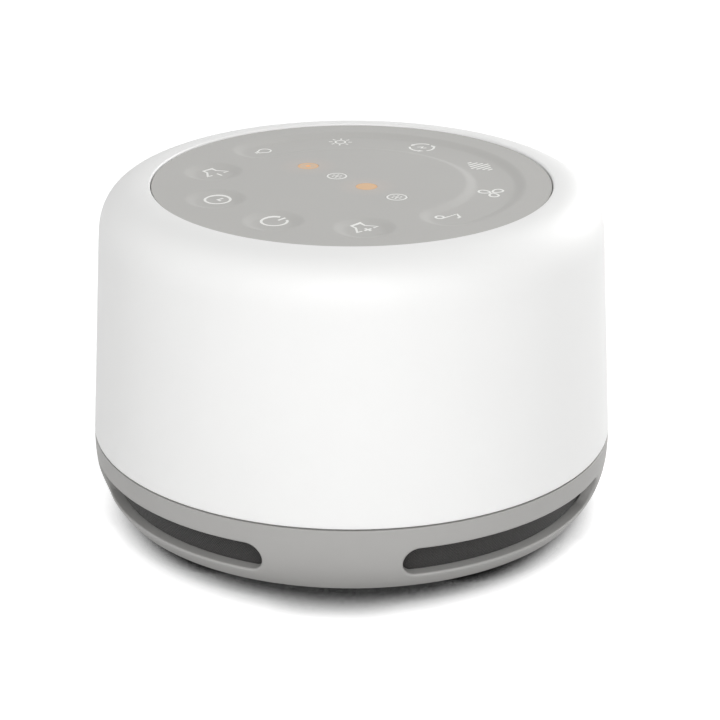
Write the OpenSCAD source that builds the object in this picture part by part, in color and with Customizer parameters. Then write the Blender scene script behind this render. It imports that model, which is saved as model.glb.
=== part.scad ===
// White noise sound machine: a white diffuser shell on a grey base, ten push keys set in a soft grey skin,
// a loudspeaker that fires down into the base, and a ring of night lights under the shell.
// +Z is up, +Y is the rear with the power inlet, and the icons read upright from -Y. The feet stand on z = 0.

/* [Outline] */
// Radius at the seam between the shell and the base, the widest place
seam_r = 50; // [45:0.5:58]
// Height of the grey base from its lower edge to the seam
base_h = 13.4; // [12.8:0.2:17]
// How far the lower edge of the base stands in from the seam
base_taper = 4; // [2:0.5:5]
// Power of the curve of the base's side
base_curve = 2.86; // [2.2:0.02:3.6]
// Height of the white shell above the seam
shell_h = 48.8; // [47.4:0.2:60]
// Height of the shell's round shoulder
shoulder_h = 9.3; // [7.8:0.1:12]
// How far the shell's wall leans in from the seam up to its shoulder
wall_draft = 2.3; // [0.5:0.1:3.5]
// Power of the curve of the shoulder, where 2 is an ellipse
shoulder_curve = 2.27; // [2:0.01:2.6]
// How far the round opening in the top of the shell stands in from the seam
rim_inset = 12.1; // [11:0.1:12.6]
// Height that the feet lift the base off the table
foot_h = 1.5; // [1:0.1:3]

/* [Walls] */
// Wall of the white shell
shell_t = 2.2; // [1.6:0.1:2.6]
// Wall of the grey base
base_t = 2.25; // [1.8:0.05:2.5]
// Floor of the base around the cover's opening
floor_t = 1.35; // [1:0.05:2]
// Thickness of the bottom cover
cover_t = 1.8; // [1.6:0.1:2.4]
// Thickness of the deck over the sound chamber
deck_t = 1.8; // [1.4:0.1:2.2]
// Wall of the core housing
core_t = 1.6; // [1.2:0.1:2]
// Thickness of the ledge that carries the keypad skin
ledge_t = 1.5; // [1.2:0.1:2]
// Width of that ledge
ledge_w = 3; // [2.4:0.1:3.4]
// Thickness of the key plate
plate_t = 1.5; // [1.2:0.1:1.8]
// Height of the open seam line between shell and base
seam_gap = 0.25; // [0.15:0.05:0.5]

/* [Keypad] */
// Thickness of the keypad skin
skin_t = 1.6; // [1.4:0.1:2]
// Depth of the skin's face below the crown of the shell
skin_drop = 0.3; // [0.1:0.1:0.8]
// Gap between the skin's edge and the shell
skin_gap = 0.3; // [0.2:0.05:0.5]
// How far the ring of keys stands in from the opening of the shell
key_inset = 10.8; // [9.9:0.1:11.3]
// Radius of a key
key_r = 4.3; // [3.9:0.1:4.5]
// Gap around a key
key_gap = 0.3; // [0.2:0.05:0.4]
// Outer radius of a finger recess
dish_r = 5.8; // [5.5:0.1:6.2]
// Radius of the flat floor of a finger recess
dish_floor_r = 4.9; // [4.8:0.05:5.2]
// Depth of a finger recess
dish_depth = 0.35; // [0.2:0.05:0.5]
// Depth of the hollow in each key's own face
key_hollow = 0.1; // [0.05:0.05:0.25]
// Travel of a key
key_travel = 0.4; // [0.25:0.05:0.5]
// Thickness of a key's cap
cap_t = 0.9; // [0.8:0.05:0.95]
// Radius of a key's stem
stem_r = 2.4; // [2:0.1:3]
// Distance between two indicator windows
lens_pitch = 8.5; // [7.5:0.1:9]
// Radius of an indicator window
lens_r = 2.05; // [1.8:0.05:2.4]
// Radius of the light guide below an indicator window
guide_r = 1.5; // [1.2:0.1:1.6]
// Running clearance of small sliding pieces and lenses
slip = 0.1; // [0.06:0.02:0.14]

/* [Key electronics] */
// Distance from the skin's underside down to the key board
key_board_drop = 7.3; // [7:0.1:8]
// Thickness of the key board and the main board
board_t = 1.6; // [1:0.1:1.8]
// Gap between the key board and the core housing
key_board_gap = 2.9; // [2:0.1:4]
// Side of a switch body
switch_w = 6; // [5:0.5:6]
// Height of a switch body
switch_h = 3.5; // [3:0.1:3.8]
// Height that a switch's plunger stands above its body
plunger_h = 1.5; // [1:0.1:1.8]
// Radius of a switch's plunger
plunger_r = 1.7; // [1.4:0.1:1.9]
// How far the key board's screws stand in from the ring of keys
key_screw_inset = 9.6; // [8.6:0.1:10.6]

/* [Sound chamber] */
// Height of a sound slot
slot_h = 5.9; // [5.2:0.1:6.3]
// Angle that a sound slot spans
slot_sweep = 60; // [50:1:62]
// Height of solid wall between a slot's top and the deck
deck_gap = 1; // [0.8:0.1:1.3]
// Side clearance of the deck in the base
deck_clear = 0.35; // [0.2:0.05:0.5]
// Thickness of the acoustic liner
liner_t = 0.45; // [0.3:0.05:0.7]
// Gap between the liner and the base wall
liner_gap = 0.15; // [0.1:0.05:0.3]
// Width of the ring on which the cover seats
cover_seat = 7; // [6.6:0.2:8]
// Width of the base's lower lip around the cover
cover_lip = 6; // [5:0.5:6]
// Side clearance of the cover and of the feet
cover_clear = 0.2; // [0.1:0.05:0.3]
// Height of the sound deflector on the cover
deflector_h = 3.5; // [2:0.5:5]
// Radius of the sound deflector
deflector_r = 20; // [15:1:24]
// Radius of a foot
foot_r = 5; // [4:0.5:5]
// How far a foot's centre stands in from the cover's edge
foot_inset = 8.5; // [7:0.5:12]
// Depth of the recess that holds a foot
foot_sink = 0.6; // [0.4:0.1:0.8]

/* [Loudspeaker] */
// Room for the leads between the speaker's flange and the core housing
lead_room = 6.1; // [5.5:0.1:7]
// Width of the speaker's flange
flange_w = 6.2; // [5.8:0.1:6.8]
// Thickness of the flange
flange_t = 1.2; // [1:0.1:1.4]
// Thickness of the foam gasket
gasket_t = 0.8; // [0.5:0.1:1.2]
// How far the speaker screws stand in from the flange's edge
speaker_screw_inset = 2.2; // [2:0.1:2.4]
// Distance from the flange to the basket's back
basket_h = 13; // [12.6:0.2:14]
// How far the basket's back stands in from the flange's inner edge
basket_taper = 5; // [4.2:0.1:5.6]
// Thickness of the basket
basket_t = 1; // [0.8:0.1:1.2]
// Thickness of the top plate and of the yoke's plate
plate_iron_t = 2; // [1.5:0.1:2.4]
// Height of the magnet ring
magnet_h = 5; // [4.4:0.1:5.6]
// How far the magnet ring stands out past the basket's back
magnet_over = 0.4; // [0:0.1:2]
// Radius of the pole piece
pole_r = 6; // [5.4:0.1:6.4]
// Gap between the pole piece and the coil former
coil_gap = 0.45; // [0.3:0.05:0.5]
// Thickness of the coil former
former_t = 0.15; // [0.1:0.01:0.2]
// Thickness of the winding on the former
winding_t = 0.35; // [0.25:0.05:0.4]
// Gap between the winding and the top plate
winding_gap = 0.4; // [0.2:0.05:0.5]
// Width of the surround between the cone and the flange
surround_w = 2.2; // [1.8:0.1:2.8]
// Thickness of the cone's paper
cone_t = 0.45; // [0.3:0.05:0.6]
// Travel of the cone each way
cone_travel = 1; // [0.5:0.1:1.2]

/* [Light and power] */
// Gap between the main board and the speaker's back
main_board_gap = 3; // [2:0.2:3.6]
// Side clearance of the main board in the core housing
main_board_clear = 0.5; // [0.3:0.1:0.8]
// Number of night lights on the ring
light_count = 12; // [4:4:12]
// Thickness of the ring board and of the inlet board
thin_board_t = 1; // [0.8:0.1:1.2]
// Radius of a base post
post_r = 3.2; // [2.6:0.1:3.4]
// Length of the inlet board
inlet_board_l = 8.2; // [7.8:0.1:8.4]
// Width of the power socket's shell
socket_w = 8.94; // [8.9:0.01:9]
// Height of the power socket's shell
socket_h = 3.26; // [3.2:0.01:3.3]
// Length of the power socket's shell
socket_l = 7.3; // [6.8:0.1:7.4]
// Width of the recess around the power socket
inlet_w = 12.6; // [12:0.1:14]
// Height of the recess around the power socket
inlet_h = 6.6; // [6.2:0.1:6.8]
// Depth of that recess
inlet_depth = 1.5; // [1:0.1:1.6]

/* [Screws] */
// Core radius of a case screw
case_screw_r = 0.95; // [0.8:0.05:1.1]
// Head radius of a case screw
case_head_r = 2.3; // [2:0.1:2.4]
// Head height of a case screw
case_head_h = 1; // [0.8:0.1:1.1]
// Length of a case screw below its head
case_screw_l = 7; // [6:0.2:7.4]
// Core radius of a board screw
board_screw_r = 0.8; // [0.6:0.05:0.9]
// Head radius of a board screw
board_head_r = 1.6; // [1.4:0.1:1.7]
// Head height of a board screw
board_head_h = 0.9; // [0.7:0.1:1]
// Clearance of a screw in the hole that it bites into
screw_gap = 0.05; // [0.03:0.01:0.08]
// Clearance of a screw in the hole that it only passes through
pass_gap = 0.35; // [0.2:0.05:0.5]
// Depth of a screw's hole past the screw's tip
pilot_spare = 0.4; // [0.2:0.1:0.6]
// Length of a board screw past the board that it holds
board_grip = 4; // [3:0.2:4.6]

/* [Hidden] */
$fn = 96;
eps = 0.01;
curve_steps = 20;
KEY_NAMES = [
    "timer", "power", "volume_up", "music", "fan", "waves", "cycle", "brightness", "lamp", "volume_down"
];

// Levels, from the table up
base_z = foot_h;
seam_z = base_z + base_h;
shell_z = seam_z + seam_gap;
crown_z = seam_z + shell_h;
wall_z = crown_z - shoulder_h;
cover_z = base_z + cover_t;
floor_z = cover_z + floor_t;
slot_top_z = floor_z + slot_h;
deck_z = slot_top_z + deck_gap;
deck_top_z = deck_z + deck_t;
speaker_z = deck_top_z + gasket_t;
basket_back_z = speaker_z + basket_h;
magnet_z = basket_back_z + plate_iron_t;
yoke_z = magnet_z + magnet_h;
main_board_z = yoke_z + plate_iron_t + main_board_gap;
main_top_z = main_board_z + board_t;
skin_top_z = crown_z - skin_drop;
skin_z = skin_top_z - skin_t;
ledge_z = skin_z - ledge_t;
plate_z = ledge_z - plate_t;
key_top_z = skin_z - key_board_drop;
key_board_z = key_top_z - board_t;
dish_z = skin_top_z - dish_depth;
stem_z = key_top_z + switch_h + plunger_h;

// Radii that follow the outline, from the wall inwards
base_low_r = seam_r - base_taper;
wall_top_r = seam_r - wall_draft;
rim_r = seam_r - rim_inset;
key_ring_r = rim_r - key_inset;
key_screw_r = key_ring_r - key_screw_inset;
function base_r(z) = seam_r - (seam_r - base_low_r) * pow((seam_z - z) / base_h, base_curve);
function base_in_r(z) = base_r(z) - base_t;
skirt_clear = 0.2;
skirt_t = 1.2;
skirt_rise = 2.5;
skirt_r = seam_r - base_t - skirt_clear;
skirt_in_r = skirt_r - skirt_t;
upstand_clear = 0.15;
upstand_r = skirt_in_r - upstand_clear;
upstand_h = 3.5;
bead_r = 0.3;
bead_clear = 0.15;
deck_r = base_in_r(deck_z) - deck_clear;
ledge_r = rim_r - ledge_w;
core_in_r = ledge_r;
core_r = core_in_r + core_t;
plate_rim = 0.7;
plate_r = core_r + plate_rim;
light_board_gap = 1;
light_board_in_r = core_r + light_board_gap;
light_board_clear = 0.4;
light_board_r = upstand_r - skirt_t - light_board_clear;
post_at = (light_board_in_r + light_board_r) / 2;
liner_r = base_in_r(floor_z) - liner_gap;
cover_r = base_low_r - cover_lip;
floor_hole_r = cover_r - cover_seat;
foot_at = cover_r - foot_inset;
key_board_r = core_in_r - key_board_gap;
flange_r = core_in_r - lead_room;
flange_in_r = flange_r - flange_w;
speaker_screw_r = flange_r - speaker_screw_inset;
basket_r = flange_in_r - basket_taper;
magnet_r = basket_r + magnet_over;
cone_r = flange_in_r - surround_w;
coil_r = pole_r + coil_gap;
former_r = coil_r + former_t;
top_bore_r = former_r + winding_t + winding_gap;
chamber_step = 1.3;
chamber_hole_r = flange_in_r + chamber_step;
core_post_r = 2.6;
core_post_sink = 0.3;
core_post_at = core_in_r - core_post_r + core_post_sink;
cover_boss_r = 2.6;
cover_boss_edge = 0.8;
cover_screw_at = floor_hole_r + cover_boss_r + cover_boss_edge;
lead_r = 0.6;
lead_bend = 2;
riser_gap = 2.5;
riser_at = core_in_r - riser_gap;

// Angles
key_step = 36;
first_key_angle = -108;
first_arc_key = 3;
last_arc_key = 8;
slot_angles = [-90, 0, 180];
inlet_angle = 90;
tab_angle = 180;
lead_angles = [inlet_angle, tab_angle];
land_angles = [45, 135, 225, 315];
foot_angles = [0, 90, 180, 270];
core_post_angles = [30, 150, 270];
function key_angle(i) = first_key_angle + key_step * i;
function in_arc(i) = i >= first_arc_key && i <= last_arc_key;

// Puts its children on a circle, one at each angle
module around(radius, angles) {
    for (angle = angles) rotate([0, 0, angle]) translate([radius, 0, 0]) children();
}

// Puts its children at one key
module at_key(i) {
    around(key_ring_r, [key_angle(i)]) children();
}

// Puts its children at every key
module at_keys() {
    for (i = [0:len(KEY_NAMES) - 1]) at_key(i) children();
}

// A disc or a tube that stands on height z
module tube(z, height, outer, inner = 0) {
    translate([0, 0, z]) linear_extrude(height) difference() {
        circle(outer);
        if (inner > 0) circle(inner);
    }
}

// A cut that goes right through a plate which stands on height z
module bore(z, thickness, radius) {
    tube(z - eps, thickness + 2 * eps, radius);
}

// A block centred on x and y that stands on height z
module block(size, z) {
    translate([-size[0] / 2, -size[1] / 2, z]) cube(size);
}

// A flat bar with round ends, seen along Y, with its length along X
module bar_y(width, height, y, length) {
    translate([0, y, 0]) rotate([-90, 0, 0]) linear_extrude(length) union() {
        square([width - height, height], center = true);
        for (side = [-1, 1]) translate([side * (width - height) / 2, 0]) circle(height / 2);
    }
}

function reversed(list) = [for (i = [len(list) - 1:-1:0]) list[i]];

// ---- Shell and skin ----

// Points of a shoulder from the wall in to the opening
function shoulder(r_in, r_out, z_low, z_high) = [
    for (i = [0:curve_steps])
        let (turn = 90 * i / curve_steps, power = 2 / shoulder_curve)
        [r_in + (r_out - r_in) * pow(cos(turn), power), z_low + (z_high - z_low) * pow(sin(turn), power)]
];

module diffuser_shell() {
    rim_root = 0.4;
    outside = shoulder(rim_r, wall_top_r, wall_z, crown_z);
    inside = reversed(shoulder(rim_r - rim_root, wall_top_r - shell_t, wall_z, ledge_z));
    skirt_top_z = shell_z + skirt_rise;
    color("white") rotate_extrude() difference() {
        polygon(concat(
            [[skirt_in_r, deck_top_z], [skirt_r, deck_top_z], [skirt_r, shell_z], [seam_r, shell_z]],
            outside,
            [[rim_r, skin_z], [ledge_r, skin_z], [ledge_r, ledge_z]],
            inside,
            [[seam_r - shell_t, skirt_top_z], [skirt_in_r, skirt_top_z]]
        ));
        translate([upstand_r, shell_z]) circle(bead_r + bead_clear, $fn = 24);
    }
}

// Finger recess over one key
module dish() {
    translate([0, 0, dish_z]) cylinder(h = dish_depth + eps, r1 = dish_floor_r, r2 = dish_r + eps);
}

// Arc recess over the keys of the rear half, which ends as round as a finger recess
module arc_dish() {
    edge_r = dish_r + eps;
    edge_z = dish_depth + eps;
    arc = key_angle(last_arc_key) - key_angle(first_arc_key);
    rotate([0, 0, key_angle(first_arc_key)]) rotate_extrude(angle = arc) translate([key_ring_r, dish_z])
        polygon([[-dish_floor_r, 0], [dish_floor_r, 0], [edge_r, edge_z], [-edge_r, edge_z]]);
    for (i = [first_arc_key, last_arc_key]) at_key(i) dish();
}

// Puts its children at the four indicator places
module at_lenses() {
    for (place = [-1.5:1:1.5]) translate([place * lens_pitch, 0, 0]) children();
}

module keypad_skin() {
    color("darkgray") difference() {
        tube(skin_z, skin_t, rim_r - skin_gap);
        arc_dish();
        for (i = [0:len(KEY_NAMES) - 1]) if (!in_arc(i)) at_key(i) dish();
        at_keys() bore(skin_z, skin_t - dish_depth, key_r + key_gap);
        at_lenses() bore(skin_z, skin_t, lens_r + slip);
    }
}

// One key: its cap with a slightly hollow face, and its stem
module key(i) {
    rings = 6;
    face = [for (n = [rings:-1:0]) let (part = n / rings)
        [key_r * part, dish_z - key_hollow * (1 - part * part)]];
    color("darkgray") at_key(i) rotate_extrude() polygon(concat(
        [[0, stem_z], [stem_r, stem_z], [stem_r, dish_z - cap_t], [key_r, dish_z - cap_t]],
        face
    ));
}

// ---- Key electronics ----

plunger_foot = 1.3;
plunger_floor = plunger_foot - key_travel - slip;
led_size = [1.6, 0.8, 0.8];
guide_gap = 0.4;
plate_post_r = 2.6;
plate_pocket = 1.9;
plate_clear = 0.2;
key_pass = 0.4;

module plunger(i) {
    foot_z = key_top_z + plunger_foot;
    color("black") at_key(i) tube(foot_z, stem_z - foot_z, plunger_r);
}

module switch_bodies() {
    color("dimgray") at_keys() difference() {
        block([switch_w, switch_w, switch_h], key_top_z);
        tube(key_top_z + plunger_floor, switch_h, plunger_r + slip);
    }
}

// A disc under the shell's ledge, stepped up inside it, with four posts that carry the key board
module key_plate() {
    color("gainsboro") difference() {
        union() {
            tube(plate_z, plate_t, plate_r, core_in_r - plate_pocket);
            tube(ledge_z, ledge_t, ledge_r - plate_clear);
            around(key_screw_r, land_angles) tube(key_top_z, ledge_z - key_top_z + eps, plate_post_r);
        }
        at_keys() bore(ledge_z, ledge_t, key_r + key_pass);
        at_lenses() bore(ledge_z, ledge_t, guide_r + slip);
        around(key_screw_r, land_angles) tube(key_top_z - eps, board_grip + pilot_spare, board_pilot_r);
    }
}

module key_board() {
    color("darkgreen") difference() {
        tube(key_board_z, board_t, key_board_r);
        around(key_screw_r, land_angles) bore(key_board_z, board_t, board_screw_r + pass_gap);
    }
}

module indicator_leds() {
    color("ivory") at_lenses() block(led_size, key_top_z);
}

// A window flush with the skin, on a guide that ends just above its lamp
module indicator_lenses() {
    guide_z = key_top_z + led_size[2] + guide_gap;
    color("whitesmoke") at_lenses() {
        tube(skin_z, skin_t, lens_r);
        tube(guide_z, skin_z - guide_z + eps, guide_r);
    }
}

// ---- Core housing and main board ----

module core_housing() {
    inside_h = main_board_z - deck_top_z;
    color("white") difference() {
        union() {
            tube(deck_top_z, plate_z - deck_top_z, core_r, core_in_r);
            intersection() {
                around(core_post_at, core_post_angles) tube(deck_top_z, inside_h, core_post_r);
                tube(deck_top_z, inside_h, core_r - core_t / 8);
            }
        }
        around(core_post_at, core_post_angles) {
            tube(deck_top_z - eps, case_screw_l - deck_t + pilot_spare, case_pilot_r);
            tube(main_board_z - board_grip - pilot_spare, board_grip + pilot_spare + eps, board_pilot_r);
        }
    }
}

notch_w = 6;
notch_l = 10;
notch_gap = 1.6;
notch_r = riser_at - notch_gap;

module main_board() {
    color("darkgreen") difference() {
        tube(main_board_z, board_t, core_in_r - main_board_clear);
        around(core_post_at, core_post_angles) bore(main_board_z, board_t, board_screw_r + pass_gap);
        around(notch_r + notch_l / 2, lead_angles)
            block([notch_l, notch_w, board_t + 2 * eps], main_board_z - eps);
    }
}

control_chip_at = [9, 7, 0];
control_chip_size = [7, 7, 0.9];
amplifier_at = [-12, 9, 0];
amplifier_size = [5, 4, 1.5];
capacitor_r = 2.5;
capacitor_h = 6;
capacitor_x = [-16, -9.5];
capacitor_y = -13;

module control_chip() {
    color("black") translate(control_chip_at) block(control_chip_size, main_top_z);
}

module amplifier_chip() {
    color("black") translate(amplifier_at) block(amplifier_size, main_top_z);
}

module capacitors() {
    color("navy") for (x = capacitor_x) translate([x, capacitor_y, 0])
        tube(main_top_z, capacitor_h, capacitor_r);
}

plug = [5, 6, 4];
lead_run = 2.4;
plug_face_at = riser_at - lead_bend - lead_run;
plug_lead_z = main_top_z + plug[2] / 2;
ribbon_w = 10;
ribbon_t = 0.3;
ribbon_run = 3;
ribbon_face_y = -16;
ribbon_plug = [12, 4, 2];
ribbon_low_z = main_top_z + ribbon_plug[2] / 2;
ribbon_high_z = key_board_z - ribbon_plug[2] / 2;
inlet_lift = 0.35;
inlet_board_z = floor_z + inlet_lift;
inlet_top_z = inlet_board_z + thin_board_t;
inlet_board_w = 14;
inlet_board_clear = 1.1;
inlet_back_y = base_in_r(inlet_board_z) - inlet_board_clear;
inlet_front_y = inlet_back_y - inlet_board_l;
header = [5, 2, 2.2];
header_inset = 0.4;
header_y = inlet_front_y + header_inset;

module connectors() {
    color("ivory") {
        around(plug_face_at - plug[0] / 2, lead_angles) block(plug, main_top_z);
        translate([0, ribbon_face_y + ribbon_plug[1] / 2, 0]) {
            block(ribbon_plug, main_top_z);
            block(ribbon_plug, key_board_z - ribbon_plug[2]);
        }
        translate([0, header_y + header[1] / 2, 0]) block(header, inlet_top_z);
    }
}

// Flat cable: out of one connector, round a half turn and back into the other
module key_ribbon() {
    bend = (ribbon_high_z - ribbon_low_z) / 2;
    color("white") translate([-ribbon_w / 2, ribbon_face_y, (ribbon_high_z + ribbon_low_z) / 2])
        rotate([90, 0, 90]) linear_extrude(ribbon_w) union() {
            for (side = [-1, 1]) translate([-ribbon_run, side * bend - ribbon_t / 2])
                square([ribbon_run, ribbon_t]);
            translate([-ribbon_run, 0]) intersection() {
                difference() {
                    circle(bend + ribbon_t / 2);
                    circle(bend - ribbon_t / 2);
                }
                translate([-2 * bend, -2 * bend]) square([2 * bend, 4 * bend]);
            }
        }
}

// A straight length of wire along X at height z, a hair thinner than the bends that it runs into
module wire_x(x1, x2, z) {
    translate([min(x1, x2), 0, z]) rotate([0, 90, 0])
        cylinder(h = abs(x2 - x1), r = lead_r - eps, $fn = 24);
}

// A quarter bend in the XZ plane around a centre
module wire_bend(x, z, from_angle) {
    translate([x, 0, z]) rotate([90, 0, 0]) rotate([0, 0, from_angle])
        rotate_extrude(angle = 90) translate([lead_bend, 0]) circle(lead_r, $fn = 24);
}

// A wire from a plug at height z1, up a riser and into a plug at height z2
module lead(x1, riser, x2, z1, z2) {
    side1 = sign(riser - x1);
    side2 = sign(x2 - riser);
    lap = 0.05;
    turn = lead_bend - lap;
    wire_x(x1, riser - side1 * turn, z1);
    wire_bend(riser - side1 * lead_bend, z1 + lead_bend, side1 < 0 ? 180 : 270);
    translate([riser, 0, z1 + turn]) cylinder(h = z2 - z1 - 2 * turn, r = lead_r - eps, $fn = 24);
    wire_bend(riser + side2 * lead_bend, z2 - lead_bend, side2 > 0 ? 90 : 0);
    wire_x(riser + side2 * turn, x2, z2);
}

module speaker_leads() {
    apart = 1.2;
    for (side = [-1, 1]) color(side < 0 ? "red" : "black") rotate([0, 0, tab_angle])
        translate([0, side * apart, 0])
        lead(tab_at, riser_at, plug_face_at, tab_z, plug_lead_z);
}

module power_leads() {
    apart = 1;
    for (side = [-1, 1]) color(side < 0 ? "red" : "black") rotate([0, 0, inlet_angle])
        translate([0, side * apart, 0])
        lead(header_y, riser_at, plug_face_at, inlet_top_z + header[2] / 2, plug_lead_z);
}

// ---- Deck and night lights ----

module deck() {
    boss_r = 2.2;
    boss_h = 3.5;
    pilot_z = deck_z - speaker_screw_grip - pilot_spare;
    lead_pass = 1.6;
    color("dimgray") difference() {
        union() {
            tube(deck_z, deck_t, deck_r);
            tube(deck_top_z - eps, upstand_h, upstand_r, upstand_r - skirt_t);
            rotate_extrude() translate([upstand_r, shell_z]) circle(bead_r, $fn = 24);
            around(speaker_screw_r, land_angles) tube(deck_z - boss_h, boss_h + eps, boss_r);
        }
        bore(deck_z - boss_h, boss_h + deck_t, chamber_hole_r);
        around(speaker_screw_r, land_angles) bore(pilot_z, deck_top_z - pilot_z, board_pilot_r);
        around(post_at, land_angles) bore(deck_z, deck_t, case_screw_r + pass_gap);
        around(core_post_at, core_post_angles) bore(deck_z, deck_t, case_screw_r + pass_gap);
        around(riser_at, [inlet_angle]) bore(deck_z, deck_t, lead_r + lead_pass);
    }
}

module light_board() {
    color("white") difference() {
        tube(deck_top_z, thin_board_t, light_board_r, light_board_in_r);
        around(post_at, land_angles) bore(deck_top_z, thin_board_t, case_screw_r + pass_gap);
    }
}

module night_lights() {
    light_size = [2.8, 3.5, 1.6];
    step = 360 / light_count;
    color("lightyellow") around(post_at, [for (i = [0:light_count - 1]) i * step])
        block(light_size, deck_top_z + thin_board_t);
}

// ---- Screws ----

case_pilot_r = case_screw_r + screw_gap;
board_pilot_r = board_screw_r + screw_gap;
speaker_screw_grip = 2;
inlet_screw_x = 5.3;
inlet_screw_inset = 1.8;
inlet_screw_y = inlet_front_y + inlet_screw_inset;
inlet_pilot_floor = 0.3;
inlet_pilot_z = cover_z + inlet_pilot_floor;

// A pan-head screw with a cross recess, head up, whose head stands on z = 0
module screw(shaft_r, shaft_l, head_r, head_h) {
    cross = [head_r * 1.1, head_r * 0.25, head_h];
    difference() {
        union() {
            tube(0, head_h, head_r);
            tube(-shaft_l, shaft_l + eps, shaft_r);
        }
        for (turn = [0, 90]) rotate([0, 0, turn]) block(cross, head_h / 2);
    }
}

module case_screw() {
    screw(case_screw_r, case_screw_l, case_head_r, case_head_h);
}

module board_screw(length) {
    screw(board_screw_r, length, board_head_r, board_head_h);
}

module board_screws() {
    color("silver") {
        around(key_screw_r, land_angles) translate([0, 0, key_board_z]) mirror([0, 0, 1])
            board_screw(board_t + board_grip);
        around(core_post_at, core_post_angles) translate([0, 0, main_top_z])
            board_screw(board_t + board_grip);
        around(speaker_screw_r, land_angles) translate([0, 0, speaker_z + flange_t])
            board_screw(flange_t + gasket_t + deck_t + speaker_screw_grip);
        for (side = [-1, 1]) translate([side * inlet_screw_x, inlet_screw_y, inlet_top_z])
            board_screw(inlet_top_z - inlet_pilot_z - slip);
    }
}

module case_screws() {
    color("silver") {
        around(post_at, land_angles) translate([0, 0, deck_top_z + thin_board_t]) case_screw();
        around(core_post_at, core_post_angles) translate([0, 0, deck_z]) mirror([0, 0, 1]) case_screw();
    }
}

module cover_screws() {
    color("silver") around(cover_screw_at, land_angles) translate([0, 0, base_z + case_head_h])
        mirror([0, 0, 1]) case_screw();
}

// ---- Loudspeaker: it lies face down, and its heights count up from the flange ----

spider_drop = 3.8;
spider_z = basket_back_z - spider_drop;
spider_t = 0.35;
cone_edge = 1.6;
cone_curve = 0.8;
cone_clear = 1;
cone_rim_z = speaker_z + cone_travel + cone_clear;
cone_h = 6.2;
cone_neck_z = cone_rim_z + cone_h;
basket_slant = 0.4;
basket_wall = basket_t + basket_slant;
mouth_step = 2;
mouth_r = flange_in_r + mouth_step;
shelf_t = 1;
shelf_w = 2.6;
shelf_in_r = basket_r - shelf_w;
tab_rise = 5.5;
tab_z = speaker_z + tab_rise;
tab_reach = 1.8;
tab_at = basket_out_r(tab_z) + tab_reach;

// Share of the way from the flange to the basket's back
function basket_part(z) = (z - speaker_z - flange_t) / (basket_h - basket_t - flange_t);
function basket_in_r(z) = flange_in_r + (basket_r - basket_wall - flange_in_r) * basket_part(z);
function basket_out_r(z) = mouth_r + (basket_r - mouth_r) * basket_part(z);

module speaker_gasket() {
    color("black") difference() {
        tube(deck_top_z, gasket_t, flange_r, chamber_hole_r);
        around(speaker_screw_r, land_angles) bore(deck_top_z, gasket_t, board_screw_r + pass_gap);
    }
}

// Pressed basket with four windows, a shelf for the spider and a tab for the leads
module speaker_frame() {
    inner_z = basket_back_z - basket_t;
    back_hole_gap = 3;
    back_hole_r = pole_r + back_hole_gap;
    window_w = 13;
    window_rise = 3;
    window_edge = 0.6;
    window_z = speaker_z + window_rise;
    window_h = spider_z - shelf_t - window_edge - window_z;
    shelf_sink = 0.3;
    tab = [3, 7, 3];
    color("dimgray") {
        difference() {
            union() {
                tube(speaker_z, flange_t, flange_r, flange_in_r);
                rotate_extrude() polygon([
                    [flange_in_r, speaker_z], [mouth_r, speaker_z], [mouth_r, speaker_z + flange_t],
                    [basket_r, inner_z], [basket_r, basket_back_z], [back_hole_r, basket_back_z],
                    [back_hole_r, inner_z], [basket_r - basket_wall, inner_z],
                    [flange_in_r, speaker_z + flange_t]
                ]);
                rotate([0, 0, tab_angle]) translate([tab_at - tab[0], -tab[1] / 2, tab_z - tab[2] / 2])
                    cube(tab);
            }
            around(speaker_screw_r, land_angles) bore(speaker_z, flange_t, board_screw_r + pass_gap);
            for (turn = land_angles) rotate([0, 0, turn]) translate([basket_r / 2, -window_w / 2, window_z])
                cube([basket_r, window_w, window_h]);
        }
        tube(spider_z - shelf_t, shelf_t, basket_in_r(spider_z - shelf_t) + shelf_sink, shelf_in_r);
    }
}

module speaker_top_plate() {
    rim = 1.6;
    color("silver") tube(basket_back_z, plate_iron_t, basket_r - rim, top_bore_r);
}

module speaker_magnet() {
    bore_gap = 4.5;
    color("black") tube(magnet_z, magnet_h, magnet_r, pole_r + bore_gap);
}

module speaker_yoke() {
    rim = 1.5;
    pole_stand = 0.4;
    pole_z = basket_back_z - pole_stand;
    color("silver") {
        tube(yoke_z, plate_iron_t, magnet_r - rim);
        tube(pole_z, yoke_z - pole_z + eps, pole_r);
    }
}

// Height of the cone's face at a share of the way from its neck to its rim
function cone_z(part) = cone_neck_z + (cone_rim_z - cone_neck_z) * pow(part, cone_curve);
function cone_line(z_shift) = [
    for (i = [0:curve_steps])
        let (part = i / curve_steps)
        [former_r + (cone_r - cone_edge - former_r) * part, cone_z(part) + z_shift]
];

// The cone is a shallow horn from its neck at the coil to its flat rim at the surround
module speaker_cone() {
    color("black") rotate_extrude() polygon(concat(
        cone_line(0),
        [[cone_r, cone_rim_z], [cone_r, cone_rim_z + cone_t]],
        reversed(cone_line(cone_t))
    ));
}

// The cap stands on the cone a little outside the coil
module dust_cap() {
    wall = 0.4;
    overlap = 1.2;
    cap_r = coil_r + overlap;
    seat_sink = 0.05;
    seat_z = cone_z((cap_r - former_r) / (cone_r - cone_edge - former_r)) - seat_sink;
    rise = 2.2;
    ball_r = (cap_r * cap_r + rise * rise) / (2 * rise);
    color("black") translate([0, 0, seat_z]) difference() {
        translate([0, 0, ball_r - rise]) sphere(ball_r);
        translate([0, 0, ball_r - rise]) sphere(ball_r - wall);
        block([4 * ball_r, 4 * ball_r, 4 * ball_r], 0);
    }
}

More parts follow.
